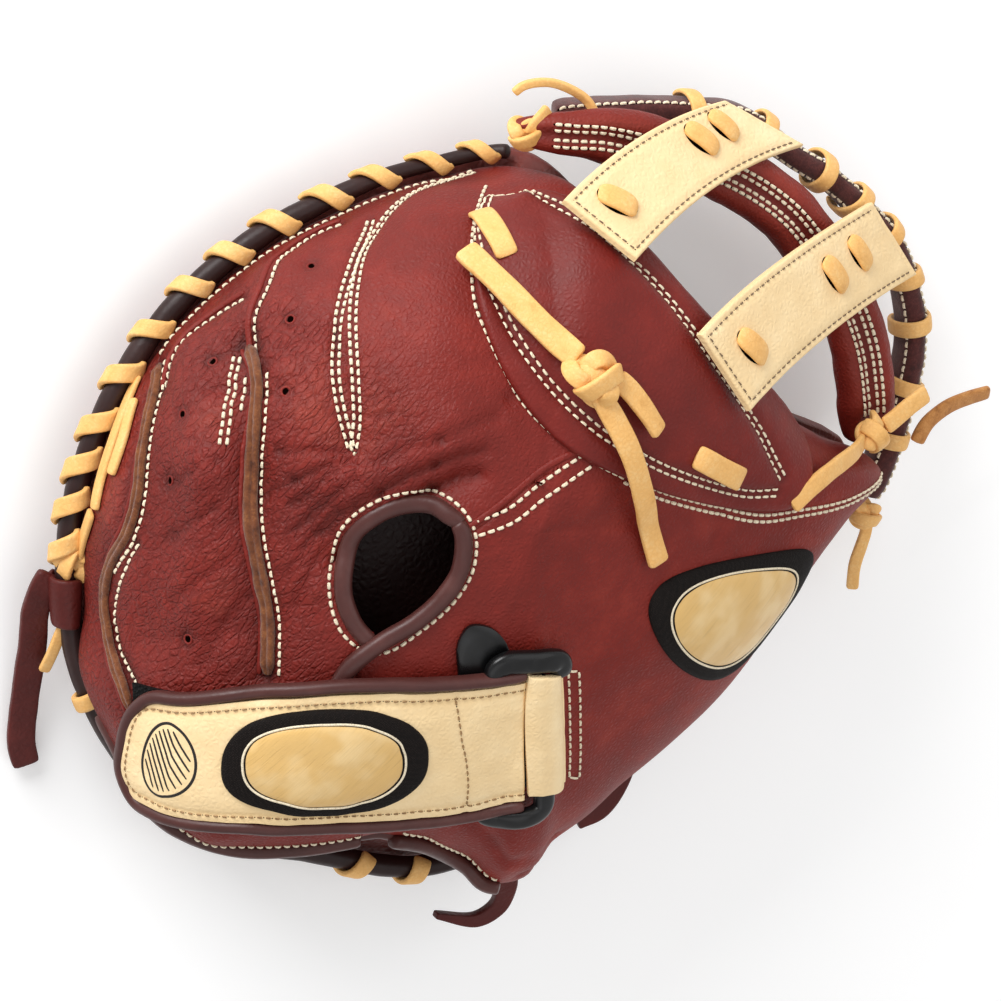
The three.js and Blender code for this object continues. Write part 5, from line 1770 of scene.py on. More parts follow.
@dataclass
class Rim:
    """The rolled welt of the rim and the laces that turn round it."""

    bearings: Sequence[float] = (
        38, 47.5, 58.5, 69, 80, 90, 99, 108.5, 117, 125.5, 132, 138, 144, 166, 190, 213, 221, 250, 270,
        291.5)
    heel_bearing: float = 151.5
    heel_width: float = 17.0
    lowest: float = -74.0

    @staticmethod
    def thin(bearing: Points) -> Points:
        """Share of the welt's full size, less toward the web."""
        return 0.62 + 0.38 * smooth_step(bearing, 42, 86)

    def welt(self) -> None:
        """Makes the welt, pinched a little under each lace."""
        bearing = np.linspace(WELT_FROM - 1, WELT_TO + 1, 420)
        line = evenly(BACK.welt(bearing), 2.0)
        up = upright(line)
        pinch = np.zeros(len(line))
        for b in self.bearings:
            near = np.linalg.norm(line - BACK.welt(np.array(b)), axis=1)
            pinch += np.exp(-((near / 4.2) ** 2))
        nearest = bearing[[int(np.argmin(np.linalg.norm(BACK.welt(bearing) - p, axis=1))) for p in line]]
        size = (1 - 0.09 * pinch) * (1 + 0.025 * lattice_noise(line, 5, 71)) * self.thin(nearest)
        section = oval(2 * WELT_RADIUS, 2 * WELT_RADIUS, 20)[None] * size[:, None, None]
        rim = Dress("rim_roll", Finish.RIM, Slot.BINDING, ("rim_welt",), levels=1, sharp=80)
        rim.make(tube(line, up, section))

    def loop(self, bearing: float, width: float, thick: float, low: float, high: float,
            slip: float) -> Mesh:
        """Makes one lace turn round the outer side of the welt."""
        centre = BACK.welt(np.array(bearing))
        along = unit(BACK.welt(np.array(bearing + 1)) - BACK.welt(np.array(bearing - 1)))
        up = unit(np.array([0.0, 0, 1]) - along[2] * along)
        out = np.cross(along, up)
        if out @ (centre - np.append(CROWN, centre[2])) < 0:
            out = -out
        a = np.radians(np.linspace(low, high, 24))
        radial = np.cos(a)[:, None] * out + np.sin(a)[:, None] * up
        dip = 1.1 * smooth_step(np.degrees(a), high - 26, high)
        reach = WELT_RADIUS * self.thin(np.array(bearing)) + 0.15 - dip
        path = centre + radial * reach[:, None] + np.linspace(-slip, slip, 24)[:, None] * along
        return tube(path, radial, strip(width, thick))

    def loops(self) -> None:
        """Makes every lace turn."""
        for n, b in enumerate(self.bearings):
            wobble = math.sin(7.1 * n)
            lean = -5.6 if b < 150 else 3.6 if b > 200 else -2.0
            width = (6.1 + 0.4 * wobble) * (0.4 + 0.6 * self.thin(np.array(b)))
            mesh = self.loop(b, width, LACE_THICK, self.lowest, 140 + 5 * wobble, lean - 0.6 * wobble)
            name = f"lace_loop_{n + 1:02d}"
            lace_piece(name + "_turn", mesh, (name,))
        mesh = self.loop(self.heel_bearing, self.heel_width, 2.2, self.lowest, 120, 1.0)
        lace_piece("heel_loop_turn", mesh, ("heel_loop",), Finish.DARK_LACE, Slot.PAD)

    def strands(self, skin: Skin) -> None:
        """Makes the straight lace lengths that run along the little finger's side."""
        whole = Mesh()
        for rows, width in (
            (((116, 0.985), (122, 0.955), (130, 0.93), (137, 0.915)), 5.6),
            (((119, 0.94), (125.5, 0.9), (131, 0.885)), 4.6),
            (((137.5, 0.93), (142, 0.965), (146, 0.995)), 5.2),
        ):
            line = evenly(on_back(rows, 1.0), 1.5)
            laid, ups = skin.lay(line, BACK.away(line))
            whole.join(tube(smoothed(laid, 3) + 0.25 * ups, unit(smoothed(ups, 3)),
                tapered(strip(width, 1.7), len(laid), 0.8, 0.8)))
        lace_piece("side_lace_strands", whole)

    def build(self, skin: Skin) -> None:
        """Makes the rim."""
        self.welt()
        self.loops()
        self.strands(skin)


@dataclass
class WristStrap:
    """The bound wrist strap with its hook patch, buckle and holding tab."""

    upper_rows: Rows = (
        (-121, 56), (-112, 47.5), (-97.6, 38.5), (-73, 19), (-50, -5.5), (-35, -21))
    lower_rows: Rows = (
        (-147.5, 31), (-142.5, 21.5), (-121, -1), (-101, -25), (-80, -48), (-66.6, -59.2))
    lift: float = 3.4
    thick: float = 2.6
    across: float = 40.0
    tab_upper: Rows = ((-34.5, -20.5), (-31.1, -26.4), (-27.6, -33.2))
    tab_lower: Rows = ((-63.2, -56), (-58.9, -61.2), (-54.6, -68))

    def surface(self, u: Points, v: Points, lift: Points = 0.0) -> Points:
        """A point over the back at a share along and a share across the strap."""
        a = Curve(self.upper_rows).at(u)
        b = Curve(self.lower_rows).at(u)
        plan = a * (1 - v)[:, None] + b * v[:, None]
        return BACK.over(plan, lift + 1.4 * np.sin(np.pi * np.clip(u, 0, 1)))

    @staticmethod
    def rounded(u: Points, v: Points) -> Points:
        """The share along, drawn in at the strap's corners so that its free end is round."""
        tuck = 0.1 * np.abs(2 * v - 1) ** 3
        return tuck + u * (1 - tuck)

    def body(self) -> Skin:
        """Makes the pebbled strap itself."""
        uu, vv = np.meshgrid(0.015 + (1.0 - 0.015) * clustered(170), 0.05 + (0.95 - 0.05) * clustered(64),
            indexing="ij")
        shape = uu.shape
        u, v = self.rounded(uu, vv).ravel(), vv.ravel()
        base = self.surface(u, v, self.lift)
        top = self.surface(u, v, self.lift + self.thick)
        way = unit(top - base)
        to_side = np.minimum(v - 0.05, 0.95 - v) * self.across
        to_end = np.linalg.norm(top.reshape(shape + (3,)) - top.reshape(shape + (3,))[-1:],
            axis=2).ravel()
        sewn = np.exp(-(((to_side - 2.6) / 0.8) ** 2))
        pad = 0.5 * smooth_step(to_side, 2, 8)
        pad = pad + 0.22 * lattice_noise(top, 9, 81) + 0.1 * lattice_noise(top, 3, 82)
        cross = distance_to_line(top,
            self.surface(np.full(12, 0.785), np.linspace(0.05, 0.95, 12), self.lift + self.thick))
        high = pad - 0.3 * sewn - 0.45 * np.exp(-((cross / 1.1) ** 2))
        high -= 0.5 * (1 - edge_round(to_end, 1.2))
        top = (top + way * high[:, None]).reshape(shape + (3,))
        mesh = slab(top, base.reshape(shape + (3,)))
        # Painted shade along the sewn row and at the free end's edge.
        painted_shade = np.append(0.5 * sewn + 0.35 * (to_end < 0.5), np.zeros(len(base)))
        Dress("strap_leather", Finish.CREAM, Slot.CREAM, ("wrist_strap",), sharp=55).make(mesh,
            {"painted_shade": painted_shade})
        return Mesh(top.reshape(-1, 3), grid_faces(*shape)).skin()

    def binding(self) -> None:
        """Makes the rolled binding round three sides."""
        line = self.border(0.0, 0.0)
        ups = BACK.away(line)
        section = tapered(oval(4.5, 5.6, 18, 2.2), len(line), 0.6, 0.6)
        mesh = tube(line, ups, section)
        roll = Dress("strap_roll", Finish.BINDING, Slot.BINDING, ("strap_binding",), levels=1, sharp=80)
        roll.make(mesh)

    def border(self, inset: float, lift: float) -> Points:
        """The line round the strap's two long sides and its free end, inset by a share across."""
        n = 120
        low, high = inset, 1 - inset
        straight = np.linspace(1, 0, n)
        v_end = low + (high - low) * (0.5 - 0.5 * np.cos(np.pi * np.linspace(0, 1, n)))
        end = inset * 0.3
        u = np.concatenate([
            self.rounded(end + straight * (1 - end), np.full(n, low)),
            self.rounded(np.full(n, end), v_end),
            self.rounded(end + straight[::-1] * (1 - end), np.full(n, high))])
        v = np.concatenate([np.full(n, low), v_end, np.full(n, high)])
        line = evenly(self.surface(u, v, self.lift + 1.3 + lift), 1.2)
        return smoothed(line, 3)

    def sew(self, skin: Skin) -> None:
        """Sews the dark row round the strap and the row across it."""
        dark = Sewing("strap_edge_stitches", Finish.CREAM_THREAD, Slot.CREAM, 1.7, 1.1, 0.62)
        line = self.border(0.098, 2.0)
        dark.row(line, skin, BACK.away(line))
        v = np.linspace(0.1, 0.9, 30)
        line = self.surface(np.linspace(0.782, 0.79, 30), v, self.lift + self.thick)
        dark.row(line, skin, BACK.away(line))
        dark.make()

    def hook(self) -> None:
        """Makes the hook patch that the strap's free end closes on."""
        u = 0.005 + 0.16 * clustered(50)
        v = -0.03 + 0.43 * clustered(60)
        uu, vv = np.meshgrid(u, v, indexing="ij")
        a, b = uu.ravel(), vv.ravel()
        rough = 0.12 * lattice_noise(self.surface(a, b, 1.5), 1.0, 83)
        top = self.surface(a, b, 2.3 + rough).reshape(uu.shape + (3,))
        low = self.surface(a, b, 0.3).reshape(uu.shape + (3,))
        Dress("hook_field", Finish.HOOK, Slot.HOOK, ("hook_patch",), sharp=40).make(slab(top, low))

    def buckle(self) -> None:
        """Makes the moulded ring that the strap turns round."""
        whole = Mesh()
        for rows, width, high in (
            (((-42.4, -14), (-39.9, -11.2), (-36.5, -11.8), (-31.5, -17.4), (-27.2, -23.4),
              (-26.4, -27.4), (-29, -31.5)), 8.0, 5.0),
            (((-78.2, -51.3), (-75, -57.2), (-70, -62.5), (-64.9, -64.1), (-61.1, -60.9),
              (-59.2, -57)), 7.2, 5.0),
        ):
            plan = Curve(rows).even(0.9)
            n = len(plan)
            line = BACK.over(plan, 4.4 + 1.2 * np.sin(np.pi * np.linspace(0, 1, n)))
            whole.join(tube(line, BACK.away(line), tapered(oval(width, high, 22, 2.8), n, 0.5, 0.5, 5)))
        bar = BACK.over(Curve([[-33, -24], [-46, -42.5], [-64, -64]]).even(1.2), 5.2)
        whole.join(tube(bar, BACK.away(bar), oval(6, 3, 14, 2.4)))
        ring = Dress("buckle_ring", Finish.PLASTIC, Slot.PLASTIC, (), levels=1, sharp=60)
        ring.make(whole)
        outline = [
            [-31.5, -2], [-35.5, 4.2], [-42.4, 2.6], [-50, -6], [-62, -22], [-74, -44], [-73, -56],
            [-62, -56], [-50, -40], [-40, -24], [-33, -12]]
        spot = Curve(outline, closed=True).dense(12)[:-1]
        middle = spot.mean(0)
        rings = [middle + (spot - middle) * k for k in (0.15, 0.4, 0.65, 0.85, 0.95, 1.0)]
        flat = np.concatenate(rings)
        n = len(spot)
        edge = np.repeat([0, 0, 0, 0, 0.15, 0.7], n)
        top = BACK.over(flat, 2.3 - edge)
        low = BACK.over(flat, 0.2)
        size = len(flat)
        rim = 5 * n
        faces = grid_faces(6, n, wrap=True, flip=True) + grid_faces(6, n, size, wrap=True)
        faces += [list(range(n)), [size + k for k in range(n)][::-1]]
        faces += [[rim + k, size + rim + k, size + rim + (k + 1) % n, rim + (k + 1) % n]
            for k in range(n)]
        Dress("buckle_plate", Finish.PLASTIC, Slot.PLASTIC, ("strap_buckle",), sharp=50).make(
            Mesh(np.vstack([top, low]), faces))

    def tab(self, skin: Skin) -> None:
        """Makes the short tab that holds the buckle, and the box stitch beside it."""
        u, v = clustered(40), clustered(80)
        a = Curve(self.tab_upper).at(u)
        b = Curve(self.tab_lower).at(u)
        plan = a[:, None] * (1 - v)[None, :, None] + b[:, None] * v[None, :, None]
        flat = plan.reshape(-1, 2)
        uu = np.repeat(u, len(v))
        vv = np.tile(v, len(u))
        drop = 5.0 * smooth_step(uu, 0.5, 1.0) ** 1.3 + 1.0 * (1 - smooth_step(uu, 0.0, 0.22))
        spots = BACK.over(flat)
        rough = lattice_noise(spots, 6, 84) * 0.18 + lattice_noise(spots, 2.5, 85) * 0.08
        side = 0.4 * (1 - edge_round(np.minimum(vv, 1 - vv) * 52, 1.0))
        top = BACK.over(flat, 8.2 - drop + rough - side).reshape(plan.shape[:2] + (3,))
        low = BACK.over(flat, np.maximum(5.6 - drop, 0.2)).reshape(top.shape)
        mesh = slab(top, low)
        # Wear only, lighter across the tab's bend.
        wear_and_highlight_mask = np.append(0.25 * np.exp(-(((uu - 0.55) / 0.12) ** 2)), np.zeros(len(flat)))
        Dress("buckle_strap", Finish.CREAM, Slot.CREAM, ("buckle_tab",), sharp=55).make(mesh,
            {"wear_and_highlight": wear_and_highlight_mask})
        pale = Sewing("box_stitches", Finish.WHITE_THREAD, Slot.CREAM, 2.5, 0.7, 0.9)
        corners = [(-26.1, -37.3), (-52.3, -72.3), (-50.4, -76.5), (-23.9, -40.7)]
        for k, (start, end) in enumerate(zip(corners, corners[1:] + corners[:1])):
            line = over_plan([start, [(start[0] + end[0]) / 2, (start[1] + end[1]) / 2], end])
            pale.row(line, skin)
        pale.make()

    def build(self, skin: Skin) -> None:
        """Makes the strap and all that belongs to it."""
        face = self.body()
        self.binding()
        self.sew(face)
        self.hook()
        self.buckle()
        self.tab(skin)
        Patch("strap_emblem", "strap_patch", self.place, -22.0, face).build()
        Ring(self.place_ring).build(face)

    def place(self, x: Points, y: Points) -> tuple[Points, Points]:
        """Where the emblem's own plan lies on the strap."""
        spot = self.surface(0.51 + 0.2 * x - 0.02 * y, 0.5 + 0.37 * y, self.lift + self.thick)
        return spot, BACK.away(spot)

    def place_ring(self, x: Points, y: Points) -> tuple[Points, Points]:
        """Where the small ring's own plan lies on the strap."""
        spot = self.surface(0.175 + 0.082 * x, 0.5 + 0.31 * y, self.lift + self.thick)
        return spot, BACK.away(spot)


Placer = Callable[[Points, Points], tuple[Points, Points]]


@dataclass
class Patch:
    """A plain padded lozenge, satin in the middle, with a dark sewn border."""

    name: str
    node: str
    place: Placer
    turn: float
    skin: Skin
    power: float = 2.4
    height: float = 2.4

    def outline(self, scale: float, count: int = 96) -> Points:
        """The lozenge's own plan at a scale."""
        return scale * oval(2, 2, count, self.power)

    def layer(self, scales: Sequence[float], lifts: Sequence[float], foot: float) -> Mesh:
        """A closed body of rings laid on the skin, each with a scale and a lift."""
        rings, n = [], 96
        for scale, lift in zip(scales, lifts):
            plan = self.outline(scale, n)
            spot, way = self.place(plan[:, 0], plan[:, 1])
            laid, ups = self.skin.lay(spot, way)
            ups = unit(smoothed(ups, 6) + way)
            rings.append(laid + lift * ups)
        plan = self.outline(scales[-1], n)
        spot, way = self.place(plan[:, 0], plan[:, 1])
        laid, ups = self.skin.lay(spot, way)
        rings.append(laid + foot * way)
        spot, way = self.place(np.zeros(1), np.zeros(1))
        laid, ups = self.skin.lay(spot, way)
        points = np.vstack([laid + lifts[0] * way, *rings, laid + foot * way])
        return Mesh(points, ball_faces(len(rings), n))

    def build(self) -> None:
        """Makes the border, the satin middle and the pale cord between them."""
        h = self.height
        border = self.layer((0.3, 0.6, 0.8, 0.93, 0.985, 1.0),
            (h * 0.6, h * 0.6, h * 0.66, h * 0.62, h * 0.45, h * 0.2), -0.3)
        edge = Dress(self.name + "_border", Finish.PATCH_EDGE, Slot.PATCH, (self.node,),
            sharp=70).make(border)
        middle = self.layer((0.2, 0.4, 0.55, 0.66, 0.73, 0.76),
            (h * 1.12, h * 1.08, h * 1.0, h * 0.88, h * 0.72, h * 0.5), 0.2)
        soft = lattice_noise(middle.points, 7, 86) * 0.15
        middle.points = middle.points + soft[:, None] * BACK.away(middle.points)
        Dress(self.name + "_satin", Finish.PATCH, Slot.PATCH, sharp=70).make(middle)
        plan = self.outline(0.775, 150)
        spot, way = self.place(plan[:, 0], plan[:, 1])
        laid, ups = self.skin.lay(spot, way)
        cord = tube(laid + h * 0.62 * way, way, oval(0.85, 0.8, 8), closed=True)
        Dress(self.name + "_cord", Finish.WHITE_THREAD, Slot.PATCH, sharp=80).make(cord)


@dataclass
class Ring:
    """A plain stamped ring with even bars inside it."""

    place: Placer
    bars: int = 9

    def build(self, skin: Skin) -> None:
        """Makes the ring and the bars as thin raised ink."""
        whole = Mesh()
        a = circle(80)
        spot, way = self.place(np.cos(a), np.sin(a))
        laid, ups = skin.lay(spot, way)
        whole.join(tube(laid, ups, oval(1.0, 0.3, 8), closed=True))
        for k in range(self.bars):
            c = -0.72 + 1.44 * k / (self.bars - 1)
            half = math.sqrt(0.86**2 - c * c)
            t = np.linspace(-half, half, 16)
            x = t * math.cos(0.9) - c * math.sin(0.9)
            y = t * math.sin(0.9) + c * math.cos(0.9)
            spot, way = self.place(x, y)
            laid, ups = skin.lay(spot, way)
            whole.join(tube(laid, ups, tapered(oval(0.75, 0.26, 8), 16, 0.3, 0.3, 3)))
        Dress("strap_ring_print", Finish.INK, Slot.HOOK, sharp=80).make(whole)


@dataclass
class Lacing:
    """The lace strands, knots and loose ends."""

    @staticmethod
    def strand(line: Points, ups: Points, width: float, thick: float, twist: float = 0.0,
               ends: tuple[float, float] = (1.0, 1.0)) -> Mesh:
        """A flat lace along a line.

        Args:
            line: The middle of its lower face.
            ups: The upward direction at each point.
            width: Its width.
            thick: Its thickness.
            twist: Turn about its own line from start to end, in degrees.
            ends: Share of the width at the start and at the end.

        Returns:
            The closed mesh.
        """
        n = len(line)
        ups = unit(smoothed(ups, 3))
        if twist:
            along = unit(np.gradient(line, axis=0))
            side = unit(np.cross(along, ups))
            a = np.radians(twist * smooth_step(np.linspace(0, 1, n), 0.1, 0.9))[:, None]
            ups = np.cos(a) * ups + np.sin(a) * side
        wave = (1 + 0.05 * lattice_noise(line, 6, 91)) * np.linspace(ends[0], ends[1], n)
        share = np.stack([wave, np.ones(n)], 1)[:, None, :]
        return tube(line, ups, tapered(strip(width, thick), n, 0.86, 0.86, 2) * share)

    def piece(self, name: str, rows: Rows, width: float, thick: float, finish: Finish = Finish.LACE,
              absolute: bool = False, twist: float = 0.0, step: float = 1.6,
              ends: tuple[float, float] = (1.0, 1.0)) -> tuple[bpy.types.Object, Points]:
        """Makes one strand that stands for the node of its name.

        Args:
            name: The node.
            rows: Plan place and lift of each point, or its full place if absolute.
            width: The strand's width.
            thick: Its thickness.
            finish: Its finish.
            absolute: Says that rows are full places.
            twist: Turn from start to end in degrees.
            step: Distance between two sections.
            ends: Share of the width at the start and at the end.

        Returns:
            The piece and the line that it follows.
        """
        a = np.array(rows, float)
        places = a if absolute else BACK.over(a[:, :2], a[:, 2])
        line = Curve(places).even(step)
        ups = upright(line) if absolute else BACK.away(line)
        along = unit(np.gradient(line, axis=0))
        ups = unit(ups - (ups * along).sum(1)[:, None] * along)
        slot = Slot.LACE if finish in (Finish.LACE, Finish.RAW_LACE) else Slot.PAD
        mesh = self.strand(line, ups, width, thick, twist, ends)
        piece = lace_piece(name + "_strand", mesh, (name,), finish, slot)
        return piece, line

    def knot(self, name: str, centre: Points, ahead: Points, up: Points,
             size: tuple[float, float, float], width: float, stands_for: bool = True) -> None:
        """Makes an overhand knot of flat lace.

        Args:
            name: The node that it stands for.
            centre: Its middle.
            ahead: The direction that the lace comes from.
            up: Its outward direction.
            size: Half sizes ahead, to the side and up.
            width: The lace's width.
            stands_for: Says that the name is a node's.
        """
        up = unit(up)
        ahead = unit(ahead - (ahead @ up) * up)
        side = np.cross(up, ahead)
        t = np.linspace(0, 2 * np.pi, 73)[:-1]
        x = (np.sin(t) + 2 * np.sin(2 * t)) / 2.6
        y = (np.cos(t) - 2 * np.cos(2 * t)) / 2.6
        z = -np.sin(3 * t)
        line = centre + (
            np.outer(x * size[0] * KNOT_FIT, ahead) + np.outer(y * size[1] * KNOT_FIT, side)
            + np.outer(z * size[2] * 0.5, up))
        outward = unit((line - centre) * 0.5 + up * size[2] * 1.2)
        whole = tube(line, outward, strip(width, 1.9) - [0, 0.9], closed=True)
        a = np.radians(np.linspace(-200, 20, 30))
        band = centre + (
            np.outer(np.cos(a), side) * size[1] - np.outer(np.sin(a), up) * size[2]) * KNOT_BAND
        band = band + np.outer(np.linspace(-0.22, 0.22, 30) * size[0], ahead) - ahead * size[0] * 0.30
        whole.join(tube(band, unit(band - centre), tapered(strip(width * 1.05, 1.8), 30, 0.8, 0.8)))
        whole.join(self.core(centre, ahead, side, up, np.array(size) * 0.7))
        nodes = (name,) if stands_for else ()
        lace_piece(name + "_turns", whole, nodes)

    @staticmethod
    def core(centre: Points, ahead: Points, side: Points, up: Points, size: Points) -> Mesh:
        """A rounded filling inside a knot."""
        rows, columns = 9, 14
        th = np.pi * (np.arange(1, rows) / rows)
        ph = circle(columns)
        points = [centre + up * size[2]]
        for a in th:
            for b in ph:
                points.append(centre + up * size[2] * math.cos(a) + math.sin(a) * (
                    ahead * size[0] * math.cos(b) + side * size[1] * math.sin(b)))
        points.append(centre - up * size[2])
        return Mesh(np.array(points), ball_faces(rows - 1, columns))

    def crotch(self, pad: Skin) -> None:
        """Makes the lace over the pad, its knot and its two loose ends."""
        self.piece(
            "crotch_lace",
            ((47.5, 73.5, 4.6), (47, 61, 7.0), (47.4, 50, 7.6), (48, 40.5, 8.4), (48, 34.5, 9.4)), 8.6,
            2.4)
        middle = BACK.over(np.array([[46.0, 29.4]]), 12.4)[0]
        up = BACK.away(middle[None])[0]
        self.knot("crotch_knot", middle, np.array([0.1, 1.0, 0]), up, (9.4, 6.9, 4.8), 6.0)
        path = (
            (43.6, 26.5, 10.6), (41.2, 21, 9.8), (36.5, 8, 8.8), (30, -8, 6), (24, -22, 2.4),
            (18.5, -34.5, 1.4))
        tail, line = self.piece("crotch_tail_long", path, 7.4, 2.2)
        self.piece(
            "crotch_tail_short",
            ((49.6, 25, 10.4), (49.6, 20, 10.0), (48.4, 12.5, 9.4), (46.4, 3.6, 8.9)), 7, 2.2, twist=-18)
        bits = Mesh()
        for rows, width in ((((62.4, 73.0, 4.6), (60.2, 69.2, 5.4), (57.0, 63.4, 4.6)), 7.6),
                            (((50.8, -16.4, 4.4), (53.2, -27.0, 5.6), (55.8, -37.6, 4.2)), 8.0)):
            line = Curve(BACK.over(np.array(rows)[:, :2], np.array(rows)[:, 2])).even(1.2)
            laid, ups = pad.lay(line, BACK.away(line))
            n = len(line)
            rise = 0.7 - 1.7 * np.abs(np.linspace(-1, 1, n)) ** 5
            bits.join(self.strand(smoothed(laid, 4) + rise[:, None] * BACK.away(laid), BACK.away(laid),
                width, 1.9))
        lace_piece("pad_lace_turns", bits)

    def web(self) -> None:
        """Makes the knots and ends round the web."""
        z = np.array([0.0, 0, 1])
        self.knot(
            "web_knot_right", np.array([100.6, -88, 59.5]), np.array([1.0, -0.2, 0.2]),
            np.array([0.4, -0.4, 0.8]), (5.6, 5.2, 4.4), 5.4)
        held = BACK.at(np.array([309.6, 312.4, 313.6, 313.4]), np.array([0.39, 0.496, 0.631, 0.76]),
            np.array([2.0, 2.4, 2.8, 4.4]))
        self.piece("web_knot_tail_in", np.vstack([held, [[95.8, -86.4, 59.6]]]), 6.4, 2, absolute=True)
        self.piece(
            "web_knot_tail_out",
            ((104.5, -89.2, 59.8), (108, -90.2, 59.4), (115.5, -92.2, 58), (123, -95, 56)), 6.6, 2,
            absolute=True)
        self.knot(
            "web_knot_top", np.array([92.6, 74.6, 45]), np.array([0.3, 1.0, 0]), z, (4.8, 4.6, 4.0), 4.6)
        self.piece(
            "web_tail_top",
            ((99.4, 86.2, 43), (102.4, 86, 43.6), (105.5, 84.2, 43.8), (110.2, 79.2, 43.6),
             (113.5, 71.8, 43.2), (114.6, 65.5, 43), (113.4, 60.2, 44)), 3.0, 2.2, absolute=True,
            step=1.0, twist=40)
        end = Curve([[93, 74, 46.4], [97.8, 75.4, 47.4], [103.1, 75.2, 46]]).even(1.2)
        mesh = self.strand(end, upright(end), 4.6, 2.0, 15)
        lace_piece("web_knot_end", mesh)
        self.knot(
            "web_knot_low", np.array([81.4, -125.6, 29.6]), np.array([0.6, 0.5, 0]), z, (4.5, 4.5, 4.0),
            4.4)
        self.piece(
            "web_tail_low",
            ((79.4, -128.4, 29.2), (77.2, -131, 28.2), (72, -135.4, 26), (66.5, -139.8, 24),
             (60, -147.6, 21)), 4.4, 2, absolute=True, twist=25)
        self.piece(
            "web_tail_outer",
            ((110.6, -119.2, 33.4), (115, -117.8, 33.2), (118.7, -117.3, 33), (127.1, -119.4, 32),
             (134.1, -123.5, 31), (141.6, -129.2, 30)), 5.5, 2, Finish.RAW_LACE, True, twist=20)

    def heel(self) -> None:
        """Makes the dark strap ends of the heel and the ties of the wrist."""
        dark = Finish.DARK_LACE
        spot = BACK.at(np.array([146.5]), np.array([1.0]), np.array([1.5]))[0]
        self.knot(
            "side_lace_knot", spot, np.array([0.6, -0.8, 0]), np.array([-0.3, 0.3, 0.9]),
            (7.5, 5.5, 4.2), 5.2, False)
        self.piece(
            "heel_tail",
            ((-114.5, 83.5, 19.5), (-120, 82, 18.5), (-127.5, 77.5, 15), (-138, 67.5, 10.5),
             (-154, 54.5, 6), (-166, 44, 3.5), (-171, 36.5, 2)), 9.5, 3, dark, True)
        self.piece(
            "heel_tail_thin",
            ((-120.5, 70, 21), (-127.5, 67.5, 20.5), (-134.5, 64, 18.5), (-141.5, 60.3, 15)), 4, 1.8,
            absolute=True)
        self.piece(
            "thumb_heel_tie",
            ((-22, -117.5, 16), (-33.5, -123, 17.5), (-44.6, -128, 18.5), (-55.5, -129.5, 18.5),
             (-63.5, -125, 18.5)), 12, 3, dark, True, step=1.0, ends=(0.7, 1.15))
        self.piece(
            "wrist_hook_tab",
            ((-92.5, -107.5, 36), (-97.2, -115, 33), (-104.5, -120, 30), (-113, -118.5, 28),
             (-121, -104, 29)), 7.2, 3.8, Finish.DARK_LACE, True, step=1.0, ends=(1.35, 0.3))

    def build(self, pad: Skin) -> None:
        """Makes every lace piece."""
        self.crotch(pad)
        self.web()
        self.heel()


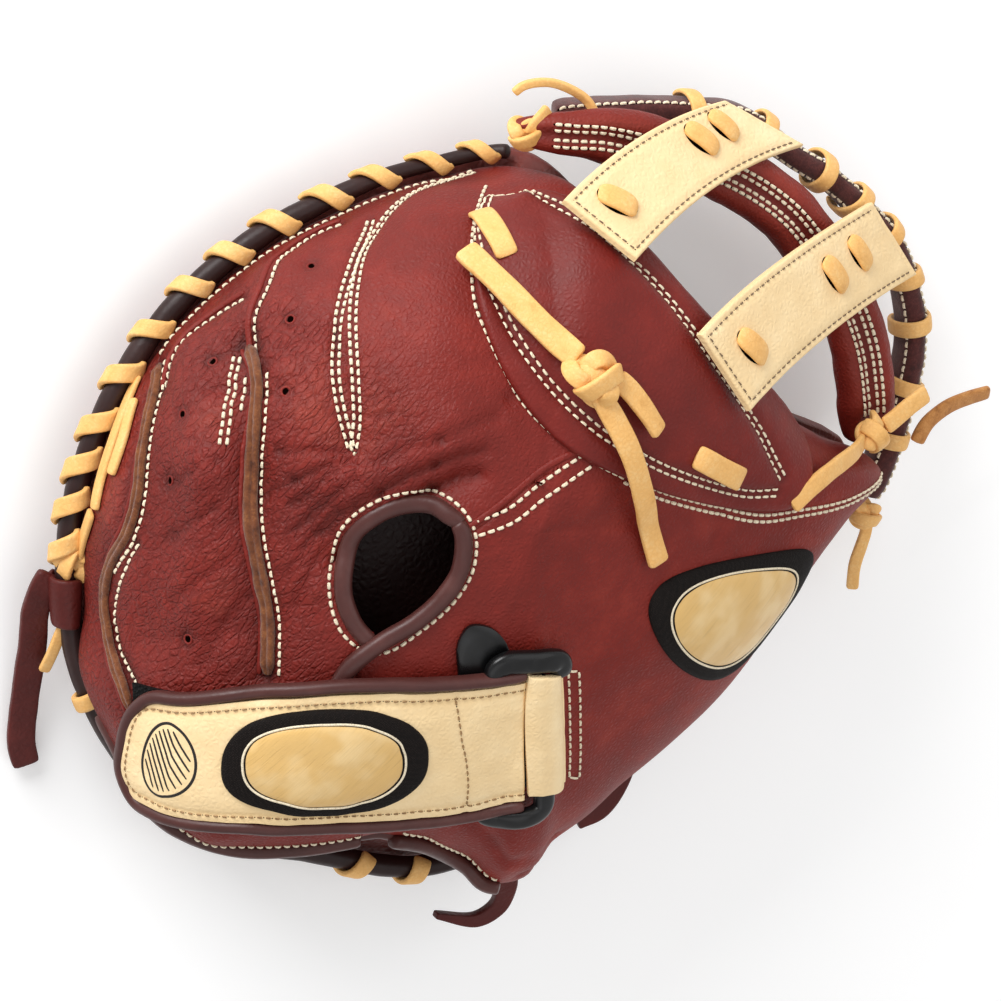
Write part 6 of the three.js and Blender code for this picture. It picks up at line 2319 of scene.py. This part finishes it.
@dataclass
class Studio:
    """The photograph's camera, a soft studio and the pale floor."""

    look_at: tuple[float, float, float] = (0.0, 0.0, 60.0)
    distance: float = 1300.0
    lens: float = 143.86
    right: tuple[float, float, float] = (0.6691, -0.6561, 0.3489)
    up: tuple[float, float, float] = (0.7431, 0.5908, -0.3141)
    back: tuple[float, float, float] = (0.0, 0.4695, 0.8829)
    key: float = 25.0
    fill: float = 6.0
    world: float = 0.6

    def camera(self) -> None:
        """Sets the camera up."""
        data = bpy.data.cameras.new("camera")
        data.lens = self.lens
        data.sensor_width = 36.0
        data.clip_start = 0.05
        camera = bpy.data.objects.new("camera", data)
        spot = metres(np.array(self.look_at) + self.distance * np.array(self.back))
        turn = Matrix((self.right, self.up, self.back)).transposed().to_4x4()
        camera.matrix_world = Matrix.Translation(Vector(spot)) @ turn
        bpy.context.scene.collection.objects.link(camera)
        bpy.context.scene.camera = camera

    def lamp(self, name: str, side: float, rise: float, toward: float, size: float, power: float,
            far: float = 1.6) -> None:
        """Adds a soft square lamp, placed by the camera's own directions."""
        way = (side * Vector(self.right) + rise * Vector(self.up)
            + toward * Vector(self.back)).normalized()
        data = bpy.data.lights.new(name, "AREA")
        data.shape = "SQUARE"
        data.size = size
        data.energy = power
        lamp = bpy.data.objects.new(name, data)
        spot = Vector(metres(np.array(self.look_at))) + far * way
        lamp.matrix_world = Matrix.Translation(spot) @ way.to_track_quat("Z", "Y").to_matrix().to_4x4()
        bpy.context.scene.collection.objects.link(lamp)

    def floor(self) -> None:
        """Lays the floor."""
        mesh = Mesh(np.array([[x, y, 0.0] for x in (-6000, 6000) for y in (-6000, 6000)]), [[0, 2, 3, 1]])
        data = bpy.data.meshes.new("floor")
        data.from_pydata(metres(mesh.points).tolist(), [], mesh.faces)
        data.materials.append(Finish.FLOOR.material())
        floor = bpy.data.objects.new("floor", data)
        bpy.context.scene.collection.objects.link(floor)

    def light(self) -> None:
        """Adds the lamps and the pale room."""
        self.lamp("key", -0.4, 0.66, 0.78, 0.9, self.key)
        self.lamp("fill", 0.8, 0.1, 0.7, 1.6, self.fill)
        self.lamp("rim", 0.1, -0.8, 0.75, 1.2, self.fill * 0.5)
        world = bpy.data.worlds.new("room")
        world.use_nodes = True
        shade = world.node_tree.nodes["Background"]
        shade.inputs["Color"].default_value = (1.0, 1.0, 1.0, 1.0)
        shade.inputs["Strength"].default_value = self.world
        bpy.context.scene.world = world
        bpy.context.scene.view_settings.view_transform = "Standard"

    def build(self) -> None:
        """Sets up the whole studio."""
        self.camera()
        self.light()
        self.floor()


@dataclass
class ThumbPatch:
    """The padded emblem on the thumb side."""

    bearing: float = 284.5
    share: float = 0.455

    def place(self, x: Points, y: Points) -> tuple[Points, Points]:
        """Where the emblem's own plan lies on the back."""
        bearing = self.bearing + 15 * x + 3 * y
        share = self.share + 0.2 * y
        return BACK.at(bearing, share), BACK.normal(bearing, share)

    def build(self, skin: Skin) -> None:
        """Makes the emblem."""
        Patch("thumb_emblem", "thumb_patch", self.place, 0.0, skin).build()


def main() -> None:
    """Builds the mitt piece by piece."""
    logging.basicConfig(level=logging.INFO, format="%(name)s %(message)s")
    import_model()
    Studio().build()
    back = BackPanels().build()
    PalmPad().build()
    Bindings().build(back)
    pad = CrotchPad().build()
    Lacing().build(pad)
    Web().build()
    Rim().build(back)
    WristStrap().build(back)
    ThumbPatch().build(back)


if __name__ == "__main__":
    main()
